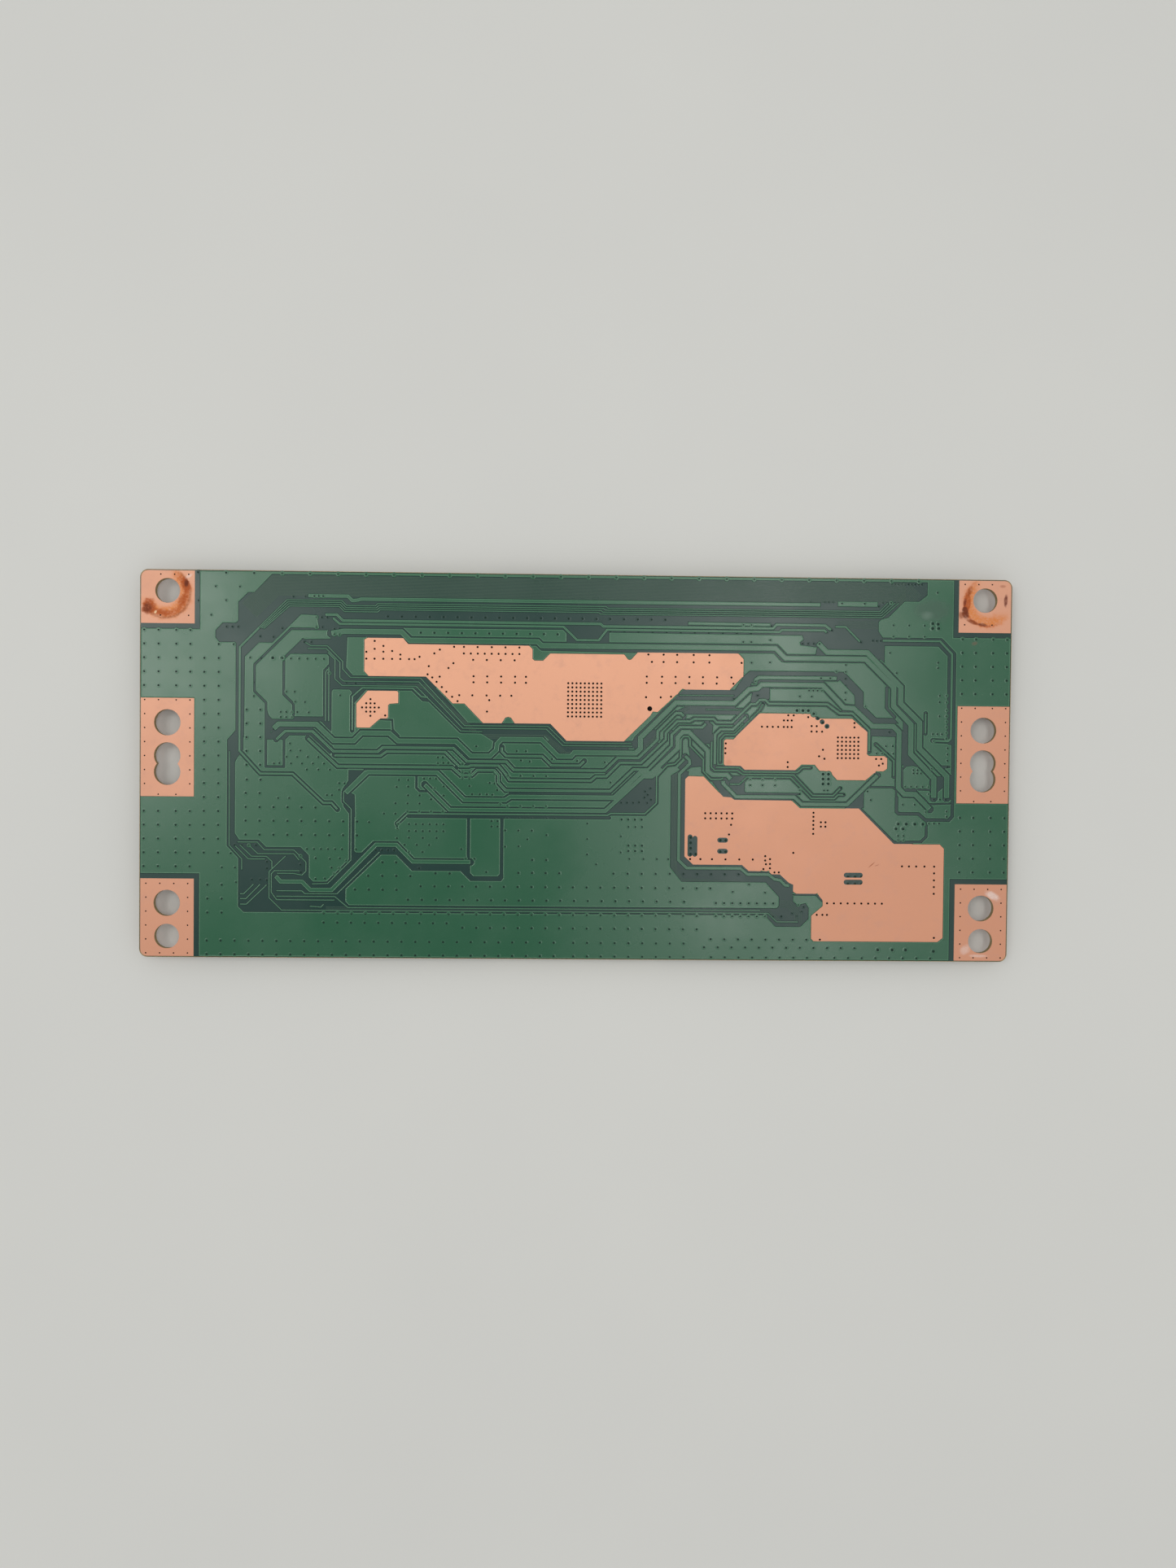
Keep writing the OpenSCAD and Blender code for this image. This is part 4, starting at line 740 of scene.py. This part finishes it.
LARGE_VIAS = {
    27.2: [65.3], 27.1: [66.3], 26.3: [65.3, 66.4], 19.5: [-55.9, -54.2], 10.9: [40.3, 41.4, 42.4],
    10.3: [43.4], 9.5: [44.2], 8.7: [45.1], 8.0: [45.9], -0.8: [45.3, 46.3], -1.7: [45.3, 46.3],
    -2.6: [45.3, 46.3], -9.9: [59.4, 60.9, 62.5, 64.0], -10.8: [59.0, 60.3], -12.7: [20.9],
    -13.2: [26.4, 27.4], -13.7: [20.9], -14.7: [20.9], -15.3: [26.4, 27.4], -15.8: [20.9, 21.9],
    -19.8: [50.2, 51.5, 52.7], -21.1: [50.2, 51.5, 52.7], -33.3: [55.9, 58.6, 61.1], -33.5: [66.3],
}
# Profiles of (radius, height) from the rim inwards, and their scale for the smaller and larger vias
VIA_RING = [(0.48, -0.008), (0.42, 0.0004), (0.35, 0.007), (0.28, 0.009), (0.2, 0.004)]
VIA_DOT = [(0.2, 0.003), (0.18, 0.007), (0.1, 0.005)]
SMALL_SCALE = 0.85
LARGE_SCALE = 1.35
# Coated nodes from the top down, with the height of their upper face
COAT_HEIGHTS = (("coated_pours", COPPER_TOP), ("coated_tracks", COPPER_TOP), ("upper_mask", MASK_TOP))
RAY_START = 10


def coat_height(x, y):
    """Height of the coat at a place, or None over bare copper and holes."""
    start = Vector((x, y, RAY_START)) * MM
    for name, height in COAT_HEIGHTS:
        if nodes[name].ray_cast(start, Vector((0, 0, -1)))[0]:
            return height
    return None


def tented_places():
    """Place and scale of every tented via."""
    places = []
    for rows, scale in ((VIA_ROWS, 1), (SMALL_ROWS, SMALL_SCALE)):
        for y, first, step, count in rows:
            places.extend((first + k * step, y, scale) for k in range(count))
    for blocks, scale in ((VIA_COLUMNS, 1), (SMALL_COLUMNS, SMALL_SCALE)):
        for columns, first, step, count in blocks:
            places.extend((x, first + k * step, scale) for x in columns for k in range(count))
    for singles, scale in ((VIA_SINGLES, SMALL_SCALE), (LARGE_VIAS, LARGE_SCALE)):
        places.extend((x, y, scale) for y, row in singles.items() for x in row)
    return places


def via_shade_finish(name, deep, pale):
    """Nearly black, with little shine: painted shade of a via's hole."""
    finish = Finish(name)
    colour = finish.mix(finish.noise(0.3), deep, pale)
    return finish.set(Base_Color=colour, Roughness=0.5, Specular_IOR_Level=0.12)


def add_tented_vias(dark):
    """Bumps over copper and over bare laminate, and a dark dot of painted hole shade in each."""
    rings = {COPPER_TOP: Shape(), MASK_TOP: Shape()}
    dots = Shape()
    for x, y, scale in tented_places():
        base = coat_height(x, y)
        if base is None:
            continue
        rings[base].turned((x, y, base), [(r * scale, h) for r, h in VIA_RING])
        dots.turned((x, y, base), [(r * scale, h) for r, h in VIA_DOT])
    rings[COPPER_TOP].piece("via_bumps", "coated_copper", coated, smooth=True)
    rings[MASK_TOP].piece("low_via_bumps", "solder_mask", mask, smooth=True)
    dots.piece("via_shade_dots", "solder_mask", dark, smooth=True)


# Open vias of the bare copper, whose holes in the solids give their places: small loops with many points.
# Each gets a near-black dish, painted shade of the hole.
HOLE_SHADE_MAX_RADIUS = 0.6
HOLE_SHADE_MIN_POINTS = 12
# Profile of a dish of painted hole shade as (share of the hole's radius, depth)
HOLE_SHADE_PROFILE = [(0.99, -0.006), (0.7, -0.014), (0.4, -0.02)]


def add_bare_vias(dark):
    dark_dishes = Shape()
    for name in PADS + POURS:
        for loop in upper_loops(name):
            x, y, radius = loop_circle(loop)
            if radius < HOLE_SHADE_MAX_RADIUS and len(loop) >= HOLE_SHADE_MIN_POINTS:
                dark_dishes.turned((x, y, BARE_TOP), [(radius * share, depth) for share, depth in HOLE_SHADE_PROFILE])
    dark_dishes.piece("bare_via_hole_shades", "solder_mask", dark, smooth=True)


bpy.context.view_layer.update()
# Painted shade: the dark dots stand for the shade in the holes of the tented vias.
tented_shade = via_shade_finish("tented_via_painted_shade", srgb(18, 38, 32), srgb(30, 54, 44))
# Painted shade: near-black dishes stand in for the shade inside the open via holes.
open_via_shade = via_shade_finish("open_via_painted_shade", srgb(22, 18, 16), srgb(38, 30, 26))
add_tented_vias(tented_shade)
add_bare_vias(open_via_shade)


# Finishes of the component side
def grained(name, dark, light, size, rough, metal=0.0, relief=0.01, depth=0.5):
    """Two tones in a grain of that size, with larger clouds over it and a matching relief."""
    finish = Finish(name)
    grain = finish.noise(size, detail=4)
    clouds = finish.noise(size * 14, detail=3)
    share = finish.math("ADD", finish.math("MULTIPLY", grain, 0.6), finish.math("MULTIPLY", clouds, 0.4))
    finish.set(Base_Color=finish.mix(finish.fade(share, 0.3, 0.7), dark, light))
    finish.set(Roughness=finish.fade(clouds, 0.3, 0.7, rough, rough + 0.12), Metallic=metal)
    return finish.bump(grain, relief, depth)


moulded = grained("moulded_black", srgb(26, 26, 28), srgb(46, 46, 48), 0.09, 0.5)
tin = grained("tinned_metal", srgb(176, 176, 172), srgb(214, 213, 208), 0.2, 0.28, metal=0.9, relief=0.004)
ferrite = grained("ferrite", srgb(52, 52, 54), srgb(82, 80, 78), 0.16, 0.6)
tan = grained("tan_ceramic", srgb(150, 122, 86), srgb(186, 158, 118), 0.12, 0.45)
resistor = grained("resistor_glaze", srgb(18, 20, 24), srgb(36, 38, 42), 0.3, 0.25, relief=0.003)
ivory = grained("ivory_nylon", srgb(214, 206, 184), srgb(232, 226, 208), 0.25, 0.42)
gilt = grained("gilt_contact", srgb(196, 156, 84), srgb(226, 190, 116), 0.3, 0.25, metal=1.0, relief=0.002)
steel = grained("nickel_can", srgb(168, 168, 164), srgb(200, 199, 194), 0.5, 0.22, metal=1.0, relief=0.002)
fuse_body = grained("white_ceramic", srgb(206, 208, 202), srgb(228, 229, 224), 0.2, 0.38)

dress(moulded, *CHIPS, "diodes", "transistors")
dress(tin, "timing_leads_row", "chip_leads", "inductor_pads", "lead_frames", "end_caps")
dress(ferrite, "power_inductors")
dress(tan, "bulk_capacitors", "small_capacitors")
dress(resistor, "small_resistors")
dress(ivory, *CONNECTORS)
dress(gilt, "connector_contacts")
dress(steel, "crystal")
dress(fuse_body, "input_fuse")


# Signal lines too fine for the solids: bundles on the bare laminate, cut where copper lies in their way
HAIR_WIDTH = 0.11
HAIR_HEIGHT = 0.012
HAIR_STEP = 0.12
# Each bundle is (first line, lines, pitch). The others lie to its left, or to its right for a negative pitch.
HAIR_BUNDLES = [
    ([(-61.5, 29.4), (-56.4, 34.5), (60.2, 34.5)], 19, -0.2),
    ([(57.9, 31.0), (61.2, 34.3)], 12, -0.24),
    ([(-46.0, -26.0), (35.5, -26.0), (38.0, -28.2)], 4, -0.24),
    ([(18.3, 0.5), (18.3, -18.9), (19.6, -20.4), (32.5, -20.9), (37.5, -24.6)], 5, -0.23),
    (
        [(-37.0, 14.9), (-28.2, 14.9), (-18.0, 5.9), (-5.8, 5.9), (-2.2, 2.8), (10.9, 2.8), (20.0, 11.6)],
        4, -0.22,
    ),
    ([(37.0, -24.3), (39.4, -24.3), (41.6, -26.4), (41.6, -28.4)], 5, -0.3),
    ([(62.0, 31.0), (57.0, 27.4), (48.0, 27.4)], 5, 0.3),
]


def beside(path, offset):
    """Path that runs beside another, to its left."""
    return [(x + dx * offset, y + dy * offset) for (x, y), (dx, dy) in zip(path, strip_sides(path))]


def open_runs(start, end):
    """Stretches of a straight line that cross bare laminate under the coat."""
    length = math.dist(start, end)
    steps = max(2, int(length / HAIR_STEP))
    runs = []
    first = None
    for k in range(steps + 1):
        share = k / steps
        spot = (start[0] + (end[0] - start[0]) * share, start[1] + (end[1] - start[1]) * share)
        clear = coat_height(*spot) == MASK_TOP
        if clear and first is None:
            first = spot
        if first is not None and (not clear or k == steps):
            if math.dist(first, spot) > 2 * HAIR_WIDTH:
                runs.append((first, spot))
            first = None
    return runs


def add_hairlines():
    """Thin raised strips along the open stretches of every bundle."""
    shape = Shape()
    for path, lines, pitch in HAIR_BUNDLES:
        for k in range(lines):
            line = beside(path, pitch * k)
            for start, end in zip(line, line[1:]):
                for run in open_runs(start, end):
                    shape.ribbon(run, HAIR_WIDTH, MASK_TOP, HAIR_HEIGHT)
    finish = mask_finish("coat_on_hairlines", srgb(48, 74, 62), srgb(60, 84, 70), 0.3, shine=0.35)
    shape.piece("hairlines", "coated_copper", finish)


add_hairlines()


# Component side: detail that hangs from the lower face
CORNERS = list(product(range(2), repeat=3))
SQUARE = ((0, 0), (1, 0), (1, 1), (0, 1))
OTHER_AXES = ((1, 2), (0, 2), (0, 1))


def chamfered_box(shape, low, high, cut):
    """Box with every edge cut back."""
    points = []
    faces = []
    index = {}
    for axis in range(3):
        for corner in CORNERS:
            spot = [(low[k] + cut, high[k] - cut)[corner[k]] for k in range(3)]
            spot[axis] = (low[axis], high[axis])[corner[axis]]
            index[(axis, corner)] = len(points)
            points.append(spot)

    def point_at(face_axis, axis, end, a, b):
        first, second = OTHER_AXES[axis]
        corner = {axis: end, first: a, second: b}
        return index[(face_axis, (corner[0], corner[1], corner[2]))]

    for axis, (first, second) in enumerate(OTHER_AXES):
        for side in range(2):
            faces.append([point_at(axis, axis, side, a, b) for a, b in SQUARE])
        strip = ((0, first), (1, first), (1, second), (0, second))
        for a, b in product(range(2), repeat=2):
            faces.append([point_at(face_axis, axis, end, a, b) for end, face_axis in strip])
    for corner in CORNERS:
        faces.append([index[(axis, corner)] for axis in range(3)])
    shape.add(points, faces)


def node_solids(name):
    """Boxes of the separate solids of a node, in millimetres."""
    mesh = nodes[name].data
    keys = [tuple(round(c * MICROMETRES) for c in v.co) for v in mesh.vertices]
    touching = {}
    for face in mesh.polygons:
        corners = [keys[vertex] for vertex in face.vertices]
        for corner in corners:
            touching.setdefault(corner, set()).update(corners)
    boxes = []
    while touching:
        solid = []
        waiting = [next(iter(touching))]
        while waiting:
            key = waiting.pop()
            if key in touching:
                waiting.extend(touching.pop(key))
                solid.append(key)
        low = [min(key[k] for key in solid) / 1000 for k in range(3)]
        high = [max(key[k] for key in solid) / 1000 for k in range(3)]
        boxes.append((low, high))
    return sorted(boxes)


def soften(width, slot, *names):
    """Copies of rigid bodies with small rounded edges, shown in place of the nodes."""
    for name in names:
        piece = bpy.data.objects.new(name + "_body", nodes[name].data.copy())
        bpy.context.scene.collection.objects.link(piece)
        bevel = piece.modifiers.new("soft_edges", "BEVEL")
        bevel.width = width * MM
        bevel.segments = 2
        bevel.limit_method = "ANGLE"
        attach(piece, "root")
        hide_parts(name)


soften(0.12, "package", *CHIPS)
soften(0.08, "package", "diodes", "transistors")
soften(0.12, "ferrite", "power_inductors")
soften(0.08, "ceramic", "bulk_capacitors", "input_fuse")
soften(0.05, "ceramic", "small_capacitors")
soften(0.05, "package", "small_resistors")
soften(0.05, "tin", "end_caps")
soften(0.08, "tin", "crystal")


# Flat-cable connectors: housing with end posts, a dark flip lock, and blades that show between the two
POST = 2.0
WALL = 1.5
RAIL = 0.85
CUT = 0.08
WALL_LAP = 0.3
RAIL_LAP = 0.2
LOCK_GAP = 0.35
LOCK_PLAY = 0.12
LOCK_SET_BACK = 0.15
LOCK_LEVELS = (0.05, 0.95)
TOOTH_LEVELS = (0.1, 0.7)
TOOTH_GAP = 0.05
TOOTH_LAP = 0.2
TOOTH_WIDTH = 0.6
BLADE_PITCH = 0.5
BLADE_WIDTH = 0.2
BLADE_LAP = 0.2
BLADE_SET_BACK = 0.4
BLADE_LEVELS = (-0.22, 0.05)


def spread(start, end, count):
    """Middles of equal shares of a length."""
    return [start + (k + 0.5) * (end - start) / count for k in range(count)]


def add_connector(name, lock_finish):
    """Housing, lock and blades of one connector, which opens away from the board's middle."""
    low, high = box_mm(name)
    outward = 1 if low[1] + high[1] > 0 else -1
    inner, outer = (low[1], high[1]) if outward > 0 else (high[1], low[1])
    depth = abs(outer - inner)
    rail = high[2] - RAIL

    def box(shape, x0, x1, from_inner, to_inner, z0, z1):
        sides = sorted((inner + outward * from_inner, inner + outward * to_inner))
        chamfered_box(shape, (x0, sides[0], z0), (x1, sides[1], z1), CUT)

    housing = Shape()
    box(housing, low[0], high[0], 0, WALL, low[2], high[2])
    box(housing, low[0], high[0], WALL - WALL_LAP, depth, rail, high[2])
    for start, end in ((low[0], low[0] + POST), (high[0] - POST, high[0])):
        box(housing, start, end, WALL - WALL_LAP, depth, low[2], rail + RAIL_LAP)
    piece = housing.piece(name + "_housing", "connector", ivory)
    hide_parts(name)

    start = low[0] + POST + LOCK_PLAY
    end = high[0] - POST - LOCK_PLAY
    face = WALL + LOCK_GAP
    lock = Shape()
    bottom, top = [low[2] + level for level in LOCK_LEVELS]
    box(lock, start, end, face, depth - LOCK_SET_BACK, bottom, top)
    bottom, top = [low[2] + level for level in TOOTH_LEVELS]
    half = TOOTH_WIDTH / 2
    for x in spread(start, end, int((end - start) / (2 * BLADE_PITCH))):
        box(lock, x - half, x + half, WALL + TOOTH_GAP, face + TOOTH_LAP, bottom, top)
    lock.piece(name + "_lock", "connector", lock_finish)

    blades = Shape()
    bottom, top = [rail + level for level in BLADE_LEVELS]
    half = BLADE_WIDTH / 2
    for x in spread(start, end, int((end - start) / BLADE_PITCH)):
        box(blades, x - half, x + half, WALL - BLADE_LAP, depth - BLADE_SET_BACK, bottom, top)
    blades.piece(name + "_blades", "contact", gilt)


lock_finish = grained("lock_plastic", srgb(46, 36, 30), srgb(66, 54, 46), 0.2, 0.4)
for connector in CONNECTORS:
    add_connector(connector, lock_finish)


# Copper, marks and solder on the lower face
TRACE_DEPTH = 0.025
TRACE_GAP = 0.25
GAP_DEPTH = 0.004
SILK_DEPTH = 0.015
BODIES = CHIPS + ("crystal", "input_fuse", "power_inductors", "diodes", "transistors", "bulk_capacitors")
SMALL_BODIES = ("small_capacitors", "small_resistors", "end_caps")
SIGNAL_PITCH = 0.5
SIGNAL_WIDTH = 0.16
SIGNAL_STEP = 0.32
LANDING = 0.7
CORNER_CUT = 0.6
EDGE_WIDTH = 0.05
MAX_SLOPE = 0.3
PANEL_LINES = 11
PANEL_FIRST = 0.5
PANEL_INSET = 4
PANEL_RISE = 0.9
INPUT_LINES = 12
INPUT_DROP = 6
INPUT_START = -3
INPUT_END = -9
# Wide runs between the large parts, each a path and a width
SUPPLY_RUNS = [
    ([(16, -31), (24, -31), (27, -28), (27, -14)], 3.4),
    ([(30, -17), (50, -17), (54, -13), (54, -6)], 4.2),
    ([(40, -26), (50, -26), (53, -23), (53, -20)], 3.0),
    ([(60, -22), (64, -18), (64, -4), (60, 0), (56, 0)], 2.6),
    ([(-20, -27), (-28, -27), (-34, -21), (-34, 2)], 2.4),
    ([(-44, 8), (-52, 8), (-58, 2), (-58, -14)], 2.2),
    ([(45, 10), (38, 17), (20, 17)], 2.8),
    ([(-12, 12), (-24, 12), (-30, 18), (-40, 18)], 2.2),
]


def under_pads():
    """Bare screw pads of the lower face, with the outlines of those above."""
    finish = CopperFinish("bare_copper_below").done()
    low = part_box(PADS[0])[0].z
    for name in PADS:
        source = nodes[name].data
        points = [(v.co.x / MM, v.co.y / MM, LOWER_FACE - (v.co.z - low) / MM) for v in source.vertices]
        shape = Shape()
        shape.add(points, [list(reversed(face.vertices)) for face in source.polygons])
        shape.piece(name + "_below", "bare_copper", finish)


def bent(start, rise, end):
    """Path that leaves a point along y, crosses at a height, and ends at another point, with cut corners."""
    cut = min(CORNER_CUT, abs(end[0] - start[0]) / 2, abs(rise - start[1]) / 2, abs(end[1] - rise) / 2)
    side = 1 if end[0] > start[0] else -1
    up = 1 if end[1] > start[1] else -1
    return [
        start, (start[0], rise - up * cut), (start[0] + side * cut, rise),
        (end[0] - side * cut, rise), (end[0], rise + up * cut), end,
    ]


def add_traces():
    """Bundles from the timing controller to the connectors, and wide runs between the large parts."""
    runs = []
    leads_low, leads_high = box_mm("timing_leads_row")
    middle = (leads_low[0] + leads_high[0]) / 2
    for side, name in ((-1, "left_panel_connector"), (1, "right_panel_connector")):
        low, high = box_mm(name)
        target = low[1] - LANDING
        near = high[0] - PANEL_INSET if side < 0 else low[0] + PANEL_INSET
        for k in range(PANEL_LINES):
            start = (middle + side * (PANEL_FIRST + k * SIGNAL_PITCH), leads_high[1])
            end = (near + (PANEL_LINES - 1 - k) * SIGNAL_PITCH, target)
            rise = leads_high[1] + PANEL_RISE + (PANEL_LINES - k) * SIGNAL_STEP
            runs.append((bent(start, rise, end), SIGNAL_WIDTH))
    target = box_mm("input_connector")[1][1] + LANDING
    for k in range(INPUT_LINES):
        start = (middle + INPUT_START + k * SIGNAL_PITCH, leads_low[1])
        end = (middle + INPUT_END + k * SIGNAL_PITCH, target)
        rise = leads_low[1] - INPUT_DROP - (INPUT_LINES - k) * SIGNAL_STEP
        runs.append((bent(start, rise, end), SIGNAL_WIDTH))
    traces = Shape()
    gaps = Shape()
    for path, width in runs + SUPPLY_RUNS:
        slope = min(MAX_SLOPE, EDGE_WIDTH / width)
        traces.ribbon(path, width, LOWER_FACE, -TRACE_DEPTH, slope)
        # The gaps beside the traces are darker: the laminate under the coat, with painted shade along the
        # trace edges.
        gaps.ribbon(path, width + 2 * TRACE_GAP, LOWER_FACE, -GAP_DEPTH, slope)
    traces.piece("traces_below", "coated_copper", coated)
    gaps.piece("trace_gaps_below", "solder_mask", gap_coat_and_shade)


# White paint: marks at a gap from the bodies, wider round the chip with leads
SILK_GAP = 0.75
WIDE_SILK_GAP = 1.5
SILK_ARM = 2.0
SILK_WIDTH = 0.16
SILK_DOT = [(0.3, 0), (0.28, -SILK_DEPTH)]
SILK_DOT_OUT = 0.4
SILK_DOT_UP = 0.1


def silk_finish():
    """Slightly worn white paint."""
    finish = Finish("silk_paint")
    worn = finish.fade(finish.noise(0.5, detail=4), 0.3, 0.55)
    finish.set(Base_Color=finish.mix(worn, srgb(176, 184, 176), srgb(226, 228, 222)), Roughness=0.6)
    return finish.bump(finish.noise(0.1), 0.004, 0.4)


def add_silk():
    """White corner marks round the bodies, and a dot beside the first pin of each chip."""
    shape = Shape()
    for name in BODIES + CONNECTORS:
        for low, high in node_solids(name):
            gap = WIDE_SILK_GAP if name == "timing_controller" else SILK_GAP
            x0, x1, y0, y1 = low[0] - gap, high[0] + gap, low[1] - gap, high[1] + gap
            arm = min(SILK_ARM, (x1 - x0) * 0.3, (y1 - y0) * 0.3)
            for x, along in ((x0, 1), (x1, -1)):
                for y, up in ((y0, 1), (y1, -1)):
                    path = [(x + along * arm, y), (x, y), (x, y + up * arm)]
                    shape.ribbon(path, SILK_WIDTH, LOWER_FACE, -SILK_DEPTH, slope=0.05)
            if name in CHIPS:
                shape.turned((x0 - SILK_DOT_OUT, y1 + SILK_DOT_UP, LOWER_FACE), SILK_DOT)
    shape.piece("silk_marks", "solder_mask", silk_finish())


def add_pin_dimples():
    """Round first-pin marks on the moulded bodies."""
    shape = Shape()
    for name in CHIPS:
        low, high = box_mm(name)
        size = (high[0] - low[0]) * 0.05
        inset = (high[0] - low[0]) * 0.14
        profile = [(size, -0.004), (size * 0.7, 0.0), (size * 0.3, 0.01)]
        shape.turned((low[0] + inset, high[1] - inset, low[2]), profile)
    finish = grained("polished_mould", srgb(16, 16, 18), srgb(28, 28, 30), 0.3, 0.25)
    shape.piece("pin_dimples", "package", finish, smooth=True)


SOLDER_CLIMB = 0.35
SOLDER_FOOT = 0.18
SOLDER_RIM = 0.01


def add_solder():
    """Solder that has climbed the end caps, as sloping skirts on the lower face."""
    shape = Shape()
    for name in ("end_caps", "inductor_pads"):
        for low, high in node_solids(name):
            climb = min(SOLDER_CLIMB, (high[2] - low[2]) * 0.6)
            rows = []
            for grow, z in ((SOLDER_FOOT, LOWER_FACE), (SOLDER_RIM, LOWER_FACE - climb)):
                x0, x1 = low[0] - grow, high[0] + grow
                y0, y1 = low[1] - grow, high[1] + grow
                rows.append([(x0, y0, z), (x1, y0, z), (x1, y1, z), (x0, y1, z)])
            shape.skin(rows)
    shape.piece("solder_fillets", "tin", tin)


VIA_CLEARANCE = 0.6
UNDER_VIA_SIDES = 10


def inside(place, low, high, margin):
    """Whether a flat place lies in a box with a margin."""
    return all(low[k] - margin < place[k] < high[k] + margin for k in range(2))


def add_under_vias():
    """Tented vias of the lower face, where no body covers them."""
    taken = []
    for name in BODIES + SMALL_BODIES + CONNECTORS:
        taken.extend(node_solids(name))
    rings = Shape()
    dots = Shape()
    for x, y, scale in tented_places():
        if coat_height(x, y) is None:
            continue
        if any(inside((x, y), a, b, VIA_CLEARANCE) for a, b in taken):
            continue
        # The dark dots are painted shade of the via holes.
        for shape, profile in ((rings, VIA_RING), (dots, VIA_DOT)):
            shape.turned((x, y, LOWER_FACE), [(r * scale, -h) for r, h in profile], sides=UNDER_VIA_SIDES)
    rings.piece("via_bumps_below", "coated_copper", coated, smooth=True)
    dots.piece("via_dimples_below", "solder_mask", tented_shade, smooth=True)


under_pads()
add_traces()
add_silk()
add_pin_dimples()
add_solder()
add_under_vias()
